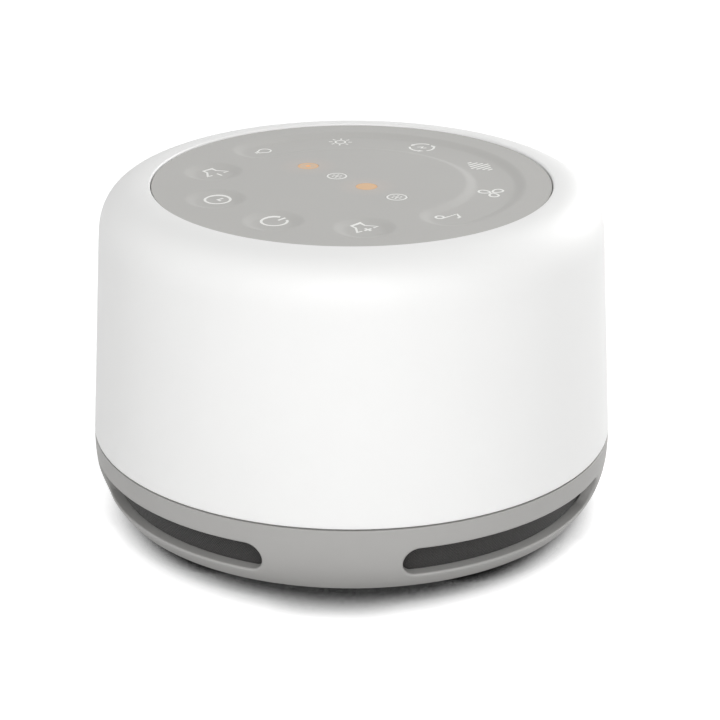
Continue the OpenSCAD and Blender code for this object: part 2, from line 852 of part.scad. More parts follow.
// The winding stands past both faces of the top plate by the cone's travel
module voice_coil() {
    gap_z = basket_back_z + plate_iron_t / 2;
    wound_h = plate_iron_t + 2 * cone_travel;
    former_below = 0.6;
    former_above = 0.4;
    former_z = cone_neck_z - former_below;
    former_top_z = gap_z + wound_h / 2 + former_above;
    color("peru") tube(gap_z - wound_h / 2, wound_h, former_r + winding_t, former_r);
    color("goldenrod") tube(former_z, former_top_z - former_z, former_r, coil_r);
}

// A rolled ring between two radii: its rolls hang below the line from one edge to the other
function roll(r1, z1, r2, z2, depth, waves, z_shift) = [
    for (i = [0:curve_steps * waves])
        let (part = i / (curve_steps * waves))
        [r1 + (r2 - r1) * part, z1 + (z2 - z1) * part - depth * sin(180 * waves * part) + z_shift]
];

module rolled_ring(r1, z1, r2, z2, depth, waves, thick) {
    rotate_extrude() polygon(concat(
        roll(r1, z1, r2, z2, depth, waves, 0),
        reversed(roll(r1, z1, r2, z2, depth, waves, -thick))
    ));
}

module speaker_surround() {
    edge_t = 0.35;
    roll_depth = 1.6;
    seat_clear = 0.2;
    seat_r = flange_in_r + slip;
    color("black") {
        tube(cone_rim_z - edge_t, edge_t, cone_r, cone_r - cone_edge + slip);
        rolled_ring(cone_r - eps, cone_rim_z, seat_r, speaker_z, roll_depth, 1, edge_t);
        tube(speaker_z - edge_t, edge_t, chamber_hole_r - seat_clear, seat_r - eps);
    }
}

module speaker_spider() {
    rise = 1.2;
    neck_w = 0.9;
    seat_clear = 0.6;
    neck_z = spider_z + rise;
    neck_r = former_r + neck_w;
    seat_r = shelf_in_r + eps;
    roll_depth = 0.6;
    waves = 7;
    color("khaki") {
        tube(neck_z, spider_t, neck_r, former_r + eps);
        rolled_ring(
            neck_r - eps, neck_z + spider_t, seat_r + eps, spider_z + spider_t, roll_depth, waves, spider_t
        );
        tube(spider_z, spider_t, basket_in_r(spider_z + spider_t) - seat_clear, seat_r);
    }
}

// ---- Base ----

module base_shell() {
    outside = [for (i = [0:curve_steps]) let (z = base_z + base_h * i / curve_steps) [base_r(z), z]];
    inside = [for (i = [curve_steps:-1:0])
        let (z = floor_z + (seam_z - floor_z) * i / curve_steps) [base_in_r(z), z]];
    cover_pilot_z = base_z + case_head_h + case_screw_l + pilot_spare;
    boss_roof = 0.6;
    boss_top_z = cover_pilot_z + boss_roof;
    post_pilot_z = deck_top_z + thin_board_t - case_screw_l - pilot_spare;
    color("gray") difference() {
        union() {
            rotate_extrude() polygon(concat(
                [[cover_r + cover_clear, base_z]],
                outside,
                inside,
                [[floor_hole_r, floor_z], [floor_hole_r, cover_z], [cover_r + cover_clear, cover_z]]
            ));
            around(post_at, land_angles) tube(floor_z - eps, deck_z - floor_z + eps, post_r);
            around(cover_screw_at, land_angles) tube(floor_z - eps, boss_top_z - floor_z + eps, cover_boss_r);
            for (side = [-1, 1]) translate([side * inlet_screw_x, inlet_screw_y, 0])
                tube(floor_z - eps, inlet_lift + eps, board_head_r);
        }
        for (angle = slot_angles) rotate([0, 0, angle]) sound_slot();
        around(post_at, land_angles) tube(post_pilot_z, deck_z - post_pilot_z + eps, case_pilot_r);
        around(cover_screw_at, land_angles) tube(cover_z - eps, cover_pilot_z - cover_z + eps, case_pilot_r);
        for (side = [-1, 1]) translate([side * inlet_screw_x, inlet_screw_y, 0])
            tube(inlet_pilot_z, inlet_board_z - inlet_pilot_z + eps, board_pilot_r);
        inlet_cut();
    }
}

// One sound slot, centred on +X: a curved bar with round ends, cut through the wall. The ends are a hair
// under half the slot's height, so that they cross its flat faces instead of grazing them.
module sound_slot() {
    mid_z = floor_z + slot_h / 2;
    end_r = slot_h / 2 - 2 * eps;
    end_turn = slot_sweep / 2 - asin(end_r / base_r(mid_z));
    overcut = 1;
    inner_r = liner_r - overcut;
    reach = seam_r + overcut - inner_r;
    rotate([0, 0, -end_turn]) rotate_extrude(angle = 2 * end_turn)
        translate([inner_r, floor_z]) square([reach, slot_h]);
    for (side = [-1, 1]) rotate([0, 0, side * end_turn]) translate([inner_r, 0, mid_z])
        rotate([0, 90, 0]) cylinder(h = reach, r = end_r);
}

module slot_liner() {
    inlet_gap = 60;
    color("black") rotate([0, 0, inlet_angle + inlet_gap / 2]) rotate_extrude(angle = 360 - inlet_gap)
        translate([liner_r - liner_t, floor_z]) square([liner_t, deck_z - floor_z]);
}

// Flat cover with a low cone that turns the sound outwards
module bottom_cover() {
    tip_r = 4;
    color("gray") difference() {
        union() {
            tube(base_z, cover_t, cover_r);
            translate([0, 0, cover_z - eps]) cylinder(h = deflector_h, r1 = deflector_r, r2 = tip_r);
        }
        around(cover_screw_at, land_angles) {
            bore(base_z, cover_t, case_screw_r + pass_gap);
            tube(base_z - eps, case_head_h + eps, case_head_r + cover_clear);
        }
        around(foot_at, foot_angles) tube(base_z - eps, foot_sink + eps, foot_r + cover_clear);
    }
}

// Each foot is a short pad with a bevelled lower edge
module rubber_feet() {
    bevel = 0.4;
    pad_h = foot_h + foot_sink;
    color("black") around(foot_at, foot_angles) rotate_extrude()
        polygon([[0, 0], [foot_r - bevel, 0], [foot_r, bevel], [foot_r, pad_h], [0, pad_h]]);
}

// ---- Power inlet ----

socket_z = inlet_top_z + socket_h / 2;
socket_clear = 0.18;
socket_inset = 0.2;
socket_wall = 0.3;
socket_back = 0.8;
tongue = [6.7, 5.5, 0.7];
inlet_bulge = 0.25;
inlet_face_y = base_r(socket_z) + inlet_bulge - inlet_depth;
socket_y = inlet_face_y - socket_inset - socket_l;

// The recess for a plug's body, and the opening for the socket's shell
module inlet_cut() {
    overcut = 1;
    recess_l = inlet_depth + 2 * overcut;
    opening_l = base_t + 3 * overcut;
    translate([0, 0, socket_z]) {
        bar_y(inlet_w, inlet_h, inlet_face_y, recess_l);
        translate([0, inlet_face_y + overcut - opening_l, 0])
            bar_y(socket_w + 2 * socket_clear, socket_h + 2 * socket_clear, 0, opening_l);
    }
}

module power_socket() {
    color("silver") translate([0, 0, socket_z]) difference() {
        bar_y(socket_w, socket_h, socket_y, socket_l);
        bar_y(socket_w - 2 * socket_wall, socket_h - 2 * socket_wall, socket_y + socket_back, socket_l);
    }
}

module socket_tongue() {
    color("black") translate([0, socket_y + socket_back + tongue[1] / 2, 0])
        block(tongue, socket_z - tongue[2] / 2);
}

module inlet_board() {
    color("darkgreen") difference() {
        translate([-inlet_board_w / 2, inlet_front_y, inlet_board_z])
            cube([inlet_board_w, inlet_board_l, thin_board_t]);
        for (side = [-1, 1]) translate([side * inlet_screw_x, inlet_screw_y, 0])
            bore(inlet_board_z, thin_board_t, board_screw_r + slip);
    }
}

diffuser_shell();
keypad_skin();
key_plate();
key_board();
switch_bodies();
indicator_lenses();
indicator_leds();
core_housing();
main_board();
control_chip();
amplifier_chip();
capacitors();
connectors();
key_ribbon();
speaker_leads();
power_leads();
deck();
light_board();
night_lights();
board_screws();
case_screws();
speaker_gasket();
speaker_frame();
speaker_top_plate();
speaker_magnet();
speaker_yoke();
speaker_cone();
dust_cap();
voice_coil();
speaker_surround();
speaker_spider();
base_shell();
slot_liner();
bottom_cover();
cover_screws();
rubber_feet();
power_socket();
socket_tongue();
inlet_board();
for (i = [0:len(KEY_NAMES) - 1]) {
    key(i);
    plunger(i);
}
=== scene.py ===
"""White noise sound machine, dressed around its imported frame: a light-spreading white shell on a slotted
grey base, with a soft grey keypad on top. Lengths are in millimetres until a mesh is made."""

import math

import bmesh
import bpy
import numpy as np
from mathutils import Matrix, Vector
from mathutils.geometry import delaunay_2d_cdt


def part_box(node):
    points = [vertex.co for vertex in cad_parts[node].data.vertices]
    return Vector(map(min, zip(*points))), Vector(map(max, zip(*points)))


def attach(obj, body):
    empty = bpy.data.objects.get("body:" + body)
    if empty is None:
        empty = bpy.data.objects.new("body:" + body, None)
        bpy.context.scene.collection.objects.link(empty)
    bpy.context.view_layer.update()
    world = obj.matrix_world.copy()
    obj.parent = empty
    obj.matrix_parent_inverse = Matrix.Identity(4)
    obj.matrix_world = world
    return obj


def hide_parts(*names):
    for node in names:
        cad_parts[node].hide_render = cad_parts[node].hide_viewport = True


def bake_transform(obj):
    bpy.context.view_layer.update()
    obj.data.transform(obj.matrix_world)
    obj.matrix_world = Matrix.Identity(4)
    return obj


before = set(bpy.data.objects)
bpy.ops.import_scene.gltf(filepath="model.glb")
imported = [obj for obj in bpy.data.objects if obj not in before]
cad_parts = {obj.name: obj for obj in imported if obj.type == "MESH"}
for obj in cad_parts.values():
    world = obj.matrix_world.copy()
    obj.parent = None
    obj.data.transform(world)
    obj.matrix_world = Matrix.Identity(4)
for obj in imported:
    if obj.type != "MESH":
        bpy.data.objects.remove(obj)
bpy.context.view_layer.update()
MM = 0.001


# ---- Sizes, from the frame where it has them ----

def span(node, axis):
    """Lowest and highest place of a node of the frame along X, Y or Z."""
    return [corner["XYZ".index(axis)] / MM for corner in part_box(node)]


base_z, seam_z = span("base_shell", "Z")
seam_r = span("base_shell", "X")[1]
skirt_z, crown_z = span("diffuser_shell", "Z")
skin_z, skin_top_z = span("keypad_skin", "Z")
skin_r = span("keypad_skin", "X")[1]
stem_z, dish_z = span("key_music", "Z")
key_left, key_right = span("key_music", "X")
key_r = (key_right - key_left) / 2
key_ring_r = (key_left + key_right) / 2
guide_z = span("indicator_lenses", "Z")[0]
cover_t = 1.8
cover_z = span("bottom_cover", "Z")[0] + cover_t
cover_r = span("bottom_cover", "X")[1]
floor_z, deck_z = span("slot_liner", "Z")
liner_r = span("slot_liner", "X")[1]
foot_top_z = span("rubber_feet", "Z")[1]
foot_r = 5
foot_at = span("rubber_feet", "X")[1] - foot_r
speaker_z = span("speaker_frame", "Z")[0]
cone_r = span("speaker_cone", "X")[1]
cone_rim_z = span("speaker_cone", "Z")[0]
surround_r = span("speaker_surround", "X")[1]
spider_r = span("speaker_spider", "X")[1]
former_r = 6.6
spider_z = 23.35
socket_low, socket_high = span("power_socket", "Z")
socket_z = (socket_low + socket_high) / 2
socket_w = span("power_socket", "X")[1] * 2
socket_h = socket_high - socket_low
socket_back, socket_front = span("power_socket", "Y")
socket_floor = span("socket_tongue", "Y")[0]

# The outline of the shell and the base
seam_gap = 0.25
wall_draft = 2.3
shoulder_h = 9.3
shoulder_curve = 2.27
rim_gap = 0.18
rim_r = skin_r + rim_gap
wall_z = crown_z - shoulder_h
wall_top_r = seam_r - wall_draft
shell_t = 2.2
base_taper = 4
base_curve = 2.86
base_t = 2.25
base_h = seam_z - base_z
lip_h, top_edge_r, sill = 0.5, 0.25, 0.05
wall_low_z = base_z + lip_h
wall_high_z = seam_z - top_edge_r
wall_in_z = floor_z - sill
post_at = 41.05
post_r = 3.2
boss_at = 36.4
boss_r = 2.6
boss_top_z = 10.5
pilot_r = 0.75

# The sound slots and the power inlet
slot_h = 5.9
slot_sweep = 60
slot_z = floor_z + slot_h / 2
slot_edge = 0.6
inlet_w = 12.6
inlet_h = 6.2
inlet_inset = 0.2
inlet_edge = 0.3
inlet_face = socket_front + inlet_inset
socket_gap = 0.18

# The keypad
KEY_NAMES = ["timer", "power", "volume_up", "music", "fan", "waves", "cycle", "brightness", "lamp",
             "volume_down"]
FIRST_KEY_ANGLE = -108
KEY_STEP = 36
ARC_KEYS = range(3, 9)
patch_r = 4.6
mark_shift = (-0.91, 0.79)
mark_inset = 0.3
dish_depth = 0.62
dish_low_z = skin_top_z - dish_depth
dish_floor_r = 3.2
dish_edge_r = 5.9
key_hollow = 0.05
cap_t = 0.9
stem_r = 2.4
lens_r = 2.05
lens_pitch = 8.5
guide_r = 1.5
lens_gap = 0.02
RING_LENS, DISC_LENS = 0, 2
KEY_SIDES, LENS_SIDES, RIM_SIDES = 72, 40, 288


def base_r(z):
    """Radius of the base's side at a height."""
    return seam_r - base_taper * ((seam_z - z) / base_h) ** base_curve


# ---- Meshes ----

CREASE = 35
MERGE_REACH = 0.002


def new_object(name, data):
    obj = bpy.data.objects.new(name, data)
    bpy.context.scene.collection.objects.link(obj)
    return obj


def baked(obj):
    """Turns an object and its modifiers into a plain mesh."""
    evaluated = obj.evaluated_get(bpy.context.evaluated_depsgraph_get())
    mesh = bpy.data.meshes.new_from_object(evaluated)
    obj.modifiers.clear()
    obj.data = mesh
    mesh.name = obj.name
    return obj


def even_shading(obj, crease=CREASE):
    """Smooth shading that stays flat on flat faces and breaks at edges sharper than the crease."""
    obj.data.shade_smooth()
    obj.data.set_sharp_from_angle(angle=math.radians(crease))
    obj.modifiers.new("even shading", "WEIGHTED_NORMAL").keep_sharp = True
    return baked(obj)


def solid(name, points, faces, *materials):
    """A closed mesh from points in millimetres, with its doubles merged and its faces turned outwards."""
    mesh = bpy.data.meshes.new(name)
    mesh.from_pydata([Vector(p) * MM for p in points], [], faces)
    work = bmesh.new()
    work.from_mesh(mesh)
    bmesh.ops.remove_doubles(work, verts=work.verts, dist=MERGE_REACH * MM)
    bmesh.ops.recalc_face_normals(work, faces=work.faces)
    work.to_mesh(mesh)
    work.free()
    for material in materials:
        mesh.materials.append(material)
    return new_object(name, mesh)


def joined(name, objects):
    """One object that holds the meshes of several, which are taken away."""
    work = bmesh.new()
    materials = []
    for obj in objects:
        first = len(work.faces)
        work.from_mesh(obj.data)
        work.faces.ensure_lookup_table()
        for face in work.faces[first:]:
            material = obj.data.materials[face.material_index]
            if material not in materials:
                materials.append(material)
            face.material_index = materials.index(material)
        bpy.data.objects.remove(obj)
    mesh = bpy.data.meshes.new(name)
    work.to_mesh(mesh)
    work.free()
    for material in materials:
        mesh.materials.append(material)
    return new_object(name, mesh)


class Rows:
    """A mesh that is built up from rows of points."""

    def __init__(self):
        self.points = []
        self.faces = []

    def row(self, points):
        start = len(self.points)
        self.points.extend(points)
        return list(range(start, len(self.points)))

    def strip(self, low, high, closed=True):
        """Quads between two rows."""
        for i in range(len(low) if closed else len(low) - 1):
            j = (i + 1) % len(low)
            self.faces.append((low[i], low[j], high[j], high[i]))

    def strips(self, rows, closed=True):
        for low, high in zip(rows, rows[1:]):
            self.strip(low, high, closed)


def polar(radius, turn, centre=(0, 0)):
    """A place at a radius from a centre, with its turn in degrees."""
    t = math.radians(turn)
    return centre[0] + radius * math.cos(t), centre[1] + radius * math.sin(t)


def arc(centre, radius, start, end, steps):
    """Points on an arc, with its angles in degrees."""
    return [polar(radius, start + (end - start) * i / steps, centre) for i in range(steps + 1)]


def circle(centre, radius, count):
    return arc(centre, radius, 0, 360, count)[:-1]


def unit(rows):
    """Rows of numbers, each scaled to a length of 1."""
    return rows / np.linalg.norm(rows, axis=1)[:, None]


def rounded(corners, closed=True, steps=6):
    """An outline through corners (x, y, radius), each rounded by an arc of its radius."""
    side_share = 0.49
    outline = []
    for i, (x, y, radius) in enumerate(corners):
        if radius == 0 or not closed and i in (0, len(corners) - 1):
            outline.append((x, y))
            continue
        here = Vector((x, y))
        before = Vector(corners[i - 1][:2]) - here
        after = Vector(corners[(i + 1) % len(corners)][:2]) - here
        half = before.angle(after) / 2
        reach = min(radius / math.tan(half), side_share * before.length, side_share * after.length)
        centre = here + (before.normalized() + after.normalized()).normalized() * reach / math.cos(half)
        first = here + before.normalized() * reach - centre
        last = here + after.normalized() * reach - centre
        for n in range(steps + 1):
            outline.append(tuple(centre + first.slerp(last, n / steps) * first.length))
    return outline


# ---- Geometry Nodes ----

def wire(tree, node, links):
    """Links outputs into a node's inputs. A node that is given as a source stands for its first output."""
    for key, source in links.items():
        output = source.outputs[0] if isinstance(source, bpy.types.Node) else source
        tree.links.new(output, node.inputs[key])


def add(tree, kind, settings=None, links=None):
    """Adds a node, sets its inputs or properties by name, and links outputs into its inputs."""
    node = tree.nodes.new(kind)
    for key, value in (settings or {}).items():
        if isinstance(key, int) or key in node.inputs:
            node.inputs[key].default_value = value
        else:
            setattr(node, key, value)
    wire(tree, node, links or {})
    return node


def new_tree(name, inputs):
    """An empty geometry tree with named inputs, the outputs that give them, and its output node."""
    tree = bpy.data.node_groups.new(name, "GeometryNodeTree")
    tree.interface.new_socket(name="Geometry", in_out="INPUT", socket_type="NodeSocketGeometry")
    for title, kind in inputs.items():
        tree.interface.new_socket(name=title, in_out="INPUT", socket_type="NodeSocket" + kind)
    tree.interface.new_socket(name="Geometry", in_out="OUTPUT", socket_type="NodeSocketGeometry")
    return tree, tree.nodes.new("NodeGroupInput").outputs, tree.nodes.new("NodeGroupOutput")


def finish_tree(tree, given, result, geometry):
    """Ends a tree in Realize Instances and Set Material."""
    real = add(tree, "GeometryNodeRealizeInstances", {}, {"Geometry": geometry})
    painted = add(tree, "GeometryNodeSetMaterial", {}, {"Geometry": real, "Material": given["Material"]})
    wire(tree, result, {"Geometry": painted})
    return tree


def grown(obj, tree, **inputs):
    """Runs a tree on an object with its inputs set by name, and keeps the result as a plain mesh."""
    modifier = obj.modifiers.new(tree.name, "NODES")
    modifier.node_group = tree
    sockets = {s.name: s.identifier for s in tree.interface.items_tree if s.in_out == "INPUT"}
    for title, value in inputs.items():
        modifier[sockets[title.replace("_", " ")]] = value
    return baked(obj)


def make_turning_tree():
    """Turns an outline, drawn in X and Y, round the Z axis: a whole turn, or part of one with its ends
    closed."""
    seam_reach = 0.001
    tree, given, result = new_tree("turning", {
        "Axis radius": "Float", "Segments": "Int", "Whole turn": "Bool", "Start": "Float", "Sweep": "Float",
        "Material": "Material",
    })
    outline = add(tree, "GeometryNodeMeshToCurve", {}, {"Mesh": given["Geometry"]})
    size = {"Resolution": given["Segments"], "Radius": given["Axis radius"]}
    whole = add(tree, "GeometryNodeCurvePrimitiveCircle", {}, size)
    part = add(tree, "GeometryNodeCurveArc", {},
               {**size, "Start Angle": given["Start"], "Sweep Angle": given["Sweep"]})
    path = add(tree, "GeometryNodeSwitch", {"input_type": "GEOMETRY"},
               {"Switch": given["Whole turn"], "False": part, "True": whole})
    swept = add(tree, "GeometryNodeCurveToMesh", {"Fill Caps": True},
                {"Curve": path, "Profile Curve": outline})
    merged = add(tree, "GeometryNodeMergeByDistance", {"Distance": seam_reach * MM}, {"Geometry": swept})
    return finish_tree(tree, given, result, merged)


def make_ring_tree():
    """Copies a piece round the Z axis."""
    tree, given, result = new_tree("ring of copies", {
        "Count": "Int", "Ring radius": "Float", "First angle": "Float", "Material": "Material",
    })
    places = add(tree, "GeometryNodeMeshCircle", {},
                 {"Vertices": given["Count"], "Radius": given["Ring radius"]})
    step = add(tree, "ShaderNodeMath", {"operation": "DIVIDE", 0: math.tau}, {1: given["Count"]})
    index = add(tree, "GeometryNodeInputIndex")
    turn = add(tree, "ShaderNodeMath", {"operation": "MULTIPLY"}, {0: index, 1: step})
    rotation = add(tree, "ShaderNodeCombineXYZ", {}, {"Z": turn})
    copies = add(tree, "GeometryNodeInstanceOnPoints", {},
                 {"Points": places, "Instance": given["Geometry"], "Rotation": rotation})
    first = add(tree, "ShaderNodeCombineXYZ", {}, {"Z": given["First angle"]})
    turned_all = add(tree, "GeometryNodeTransform", {}, {"Geometry": copies, "Rotation": first})
    return finish_tree(tree, given, result, turned_all)


TURNING = make_turning_tree()
RING = make_ring_tree()
AXIS_R = 1


def turned(name, outline, material, closed=True, segments=192, start=0, sweep=0):
    """A piece turned from its outline (radius, height), drawn counter-clockwise. With a sweep it is a part
    of a turn."""
    points = [((r - AXIS_R) * MM, -z * MM, 0) for r, z in reversed(outline)]
    edges = [(i, i + 1) for i in range(len(points) - 1)]
    if closed:
        edges.append((len(points) - 1, 0))
    mesh = bpy.data.meshes.new(name)
    mesh.from_pydata(points, edges, [])
    obj = grown(new_object(name, mesh), TURNING, Axis_radius=AXIS_R * MM, Segments=segments,
                Whole_turn=sweep == 0, Start=math.radians(start), Sweep=math.radians(sweep),
                Material=material)
    return even_shading(obj)


def ring_of(obj, count, radius, first_angle, material):
    """Copies of a piece round the Z axis, as one object."""
    return grown(obj, RING, Count=count, Ring_radius=radius * MM, First_angle=math.radians(first_angle),
                 Material=material)


# ---- Materials ----

POLISH_DRIFT = 0.04


def linear(colour):
    """An sRGB hex colour as linear red, green, blue and alpha."""
    parts = [int(colour[i:i + 2], 16) / 255 for i in (1, 3, 5)]
    return [*[p / 12.92 if p <= 0.04045 else ((p + 0.055) / 1.055) ** 2.4 for p in parts], 1]


def new_material(name):
    """A material, its node tree, and the place of each point on the piece."""
    material = bpy.data.materials.new(name)
    material.use_nodes = True
    return material, material.node_tree, add(material.node_tree, "ShaderNodeTexCoord").outputs["Object"]


def wandering(tree, spot, size, low, high):
    """A value that wanders between low and high in blotches of that size in millimetres."""
    pattern = add(tree, "ShaderNodeTexNoise", {"Scale": 1 / (size * MM), "Detail": 2}, {"Vector": spot})
    settings = {"From Min": 0.3, "From Max": 0.7, "To Min": low, "To Max": high}
    return add(tree, "ShaderNodeMapRange", settings, {"Value": pattern})


def surfaced(material, colour, shade, roughness, height, depth, sockets):
    """Gives a material its colour times a shade, its roughness, a height pattern's relief in mm, and values
    for other sockets of its shader."""
    tree = material.node_tree
    shader = tree.nodes["Principled BSDF"]
    if isinstance(colour, str):
        tint = add(tree, "ShaderNodeHueSaturation", {"Color": linear(colour)}, {"Value": shade})
    else:
        tint = add(tree, "ShaderNodeHueSaturation", {}, {"Color": colour, "Value": shade})
    relief = add(tree, "ShaderNodeBump", {"Distance": depth * MM}, {"Height": height})
    wire(tree, shader, {"Base Color": tint, "Roughness": roughness, "Normal": relief})
    for key, value in sockets.items():
        shader.inputs[key.replace("_", " ")].default_value = value
    return material


def grained(name, colour, roughness, grain, depth, drift=0.02, **sockets):
    """A surface of one colour with a grain, whose shade drifts a little from place to place."""
    drift_size = 18
    material, tree, spot = new_material(name)
    return surfaced(material, colour, wandering(tree, spot, drift_size, 1 - drift, 1 + drift),
                    wandering(tree, spot, grain, roughness - POLISH_DRIFT, roughness + POLISH_DRIFT),
                    wandering(tree, spot, grain, 0, 1), depth, sockets)


def woven(name, colour, pitch, depth, around_r=None, **sockets):
    """A plain weave, its threads along X and Y, or round the Z axis at a radius and up it. Its colour is
    paler where its relief is high and darker where it is low: painted shade between the threads.
    """
    material, tree, spot = new_material(name)
    place = add(tree, "ShaderNodeSeparateXYZ", {}, {0: spot}).outputs
    lines = [(place["X"], 1), (place["Y"], 1)]
    if around_r:
        turn = add(tree, "ShaderNodeMath", {"operation": "ARCTAN2"}, {0: place["Y"], 1: place["X"]})
        lines = [(turn, around_r * MM), (place["Z"], 1)]
    waves = []
    for line, length in lines:
        threads = math.tau * length / (pitch * MM)
        phase = add(tree, "ShaderNodeMath", {"operation": "MULTIPLY", 1: threads}, {0: line})
        waves.append(add(tree, "ShaderNodeMath", {"operation": "SINE"}, {0: phase}))
    crossing = add(tree, "ShaderNodeMath", {"operation": "MULTIPLY"}, dict(enumerate(waves)))
    # Painted shade: darker where the weave's relief is low
    shade = add(tree, "ShaderNodeMapRange", {"From Min": -1, "To Min": 0.7, "To Max": 1.15},
                {"Value": crossing})
    return surfaced(material, colour, shade, wandering(tree, spot, pitch, 0.8, 0.95), crossing, depth,
                    sockets)


def striped(name, first, second, axis, pitch, roughness, depth, **sockets):
    """Bands of two colours side by side along an axis. The second colour starts at the origin."""
    blur = 0.2
    material, tree, spot = new_material(name)
    place = add(tree, "ShaderNodeSeparateXYZ", {}, {0: spot}).outputs[axis]
    phase = add(tree, "ShaderNodeMath", {"operation": "MULTIPLY", 1: math.tau / (pitch * MM)}, {0: place})
    wave = add(tree, "ShaderNodeMath", {"operation": "SINE"}, {0: phase})
    share = add(tree, "ShaderNodeMapRange", {"From Min": -blur, "From Max": blur}, {"Value": wave})
    colours = {"data_type": "RGBA", 6: linear(first), 7: linear(second)}
    mix = add(tree, "ShaderNodeMix", colours, {0: share})
    return surfaced(material, mix.outputs[2], wandering(tree, spot, 5, 0.97, 1.03),
                    wandering(tree, spot, 0.5, roughness - POLISH_DRIFT, roughness + POLISH_DRIFT),
                    wave, depth, sockets)


def laminate(name, mask, track):
    """A circuit board: copper tracks 0.3 mm wide show as paler lines through the solder mask."""
    material, tree, spot = new_material(name)
    tracks = add(tree, "ShaderNodeTexBrick", {
        "Color1": linear(mask), "Color2": linear(mask), "Mortar": linear(track), "Scale": 1 / MM,
        "Brick Width": 6, "Row Height": 1.3, "Mortar Size": 0.15, "Mortar Smooth": 0.2,
    }, {"Vector": spot})
    return surfaced(material, tracks.outputs["Color"], wandering(tree, spot, 6, 0.97, 1.03),
                    wandering(tree, spot, 0.8, 0.28, 0.36), tracks.outputs["Fac"], 0.03, {})


def window_film(name, colour, glow):
    """Tinted film over a lit guide. It keeps its own pale colour, and painted amber emission stands for the
    lamp that shines from below.
    """
    return grained(name, colour, 0.45, 0.3, 0.002, drift=0.01, IOR=1.5, Emission_Color=linear("#ff8a2a"),
                   Emission_Strength=glow)


def painted_light_leak(material, places, reach, colour, strength):
    """Painted glow: amber emission on a soft skin round its lit windows, fading with distance, that stands
    for light leaking into it.
    """
    tree = material.node_tree
    shader = tree.nodes["Principled BSDF"]
    spot = add(tree, "ShaderNodeTexCoord").outputs["Object"]
    fade = {"From Min": reach * MM, "From Max": lens_r * MM, "To Max": strength}
    total = None
    for place in places:
        settings = {"operation": "DISTANCE", 1: Vector(place) * MM}
        away = add(tree, "ShaderNodeVectorMath", settings, {0: spot})
        glow = add(tree, "ShaderNodeMapRange", fade, {"Value": away.outputs["Value"]})
        total = add(tree, "ShaderNodeMath", {}, {0: total, 1: glow}) if total else glow
    shader.inputs["Emission Color"].default_value = linear(colour)
    wire(tree, shader, {"Emission Strength": total})


# Opal polycarbonate, moulded and lightly polished: milky, so that light sinks a little way in
opal_polycarbonate = grained("opal_polycarbonate", "#f4f4f3", 0.48, 0.5, 0.0012, drift=0.004, IOR=1.58,
                             Subsurface_Weight=0.25, Subsurface_Radius=(1, 1, 1), Subsurface_Scale=0.0015)
# ABS moulded against a spark-eroded tool: an even, dull grain of about a third of a millimetre
grey_abs = grained("spark_textured_grey_abs", "#a9a8a6", 0.54, 0.35, 0.006, IOR=1.54)
white_abs = grained("moulded_white_abs", "#e6e6e2", 0.45, 0.5, 0.003, IOR=1.54)
black_abs = grained("moulded_black_abs", "#232425", 0.48, 0.5, 0.003, IOR=1.54)
# Silicone cast in a blasted tool: velvety, with hardly a highlight
grey_silicone = grained("cast_grey_silicone", "#bdbcb9", 0.58, 0.4, 0.004, drift=0.01, IOR=1.43)
# Silicone ink, screen printed: a thin even film as dull as the skin
white_ink = grained("white_silicone_ink", "#f6f6f3", 0.5, 0.3, 0.002, drift=0.005, IOR=1.43)
# Polyester window film, tinted through: satin, pale by itself, and amber where a lamp shines from below,
# painted on as emission
dim_film = window_film("dim_amber_window", "#b6b19d", 0.15)
lit_film = window_film("lit_amber_window", "#a9a88c", 0.27)
amber_mark = window_film("amber_window_ring", "#a1a07f", 0.33)
amber_dot = window_film("bright_amber_spot", "#9d905f", 0.52)
# Natural rubber pressed in a mould: dark and dull, with a fine bloom
rubber = grained("pressed_black_rubber", "#1d1d1e", 0.7, 0.4, 0.01, IOR=1.52)
nitrile = grained("rolled_nitrile_rubber", "#17181a", 0.55, 0.5, 0.004, IOR=1.52)
# Cross-linked foam, cut from sheet: small closed cells, drawn at 0.6 mm
foam = grained("closed_cell_foam", "#2a2b2d", 0.85, 0.6, 0.05, IOR=1.5)
# Polyester gauze. Its 0.2 mm threads are drawn three times as coarse, so that they show
acoustic_gauze = woven("black_acoustic_gauze", "#383736", 0.6, 0.05, around_r=liner_r, Sheen_Weight=0.2)
# Cotton set hard with phenolic resin, which leaves it amber. Its 0.4 mm threads are drawn at their size
resin_cotton = woven("resin_set_cotton", "#c9a860", 0.8, 0.04, Sheen_Weight=0.1)
# Paper pulp felted on a screen: matt, with short fibres that catch the light
paper_pulp = grained("felted_paper_pulp", "#2b2c2e", 0.85, 0.7, 0.03, drift=0.06, IOR=1.5)
# Sheet steel dipped in black powder coat: a soft orange peel
black_steel = grained("powder_coated_steel", "#202124", 0.42, 1.2, 0.01, IOR=1.5)
# Zinc plate with a clear passivate: bright grey with a faint spangle
zinc_steel = grained("zinc_plated_steel", "#c3c6c9", 0.3, 1.5, 0.003, drift=0.05, Metallic=1)
nickel_steel = grained("nickel_plated_steel", "#c9c5bb", 0.22, 0.8, 0.002, drift=0.03, Metallic=1)
# Ferrite, pressed and sintered: dark grey, dry and finely pitted
ferrite = grained("sintered_ferrite", "#3a3b3d", 0.75, 0.5, 0.02, drift=0.05, IOR=2.4)
# Enamelled copper wire, wound in even layers. Its 0.15 mm turns are drawn twice as coarse, with paler
# copper on their crowns and darker copper between them: painted highlight and shade
copper_winding = striped("enamelled_copper_winding", "#8a4a24", "#c47a3c", "Z", 0.3, 0.35, 0.04,
                         Metallic=0.9)
# Glass laminate under green solder mask, and under the white mask that lamp boards have
green_board = laminate("green_solder_mask", "#1d5a37", "#2f7a4b")
white_board = laminate("white_solder_mask", "#e9e9e4", "#d8d8cf")
# Epoxy moulded round a chip: charcoal, with the tool's fine spark grain
chip_epoxy = grained("chip_epoxy", "#1c1c1e", 0.6, 0.3, 0.006, IOR=1.55)
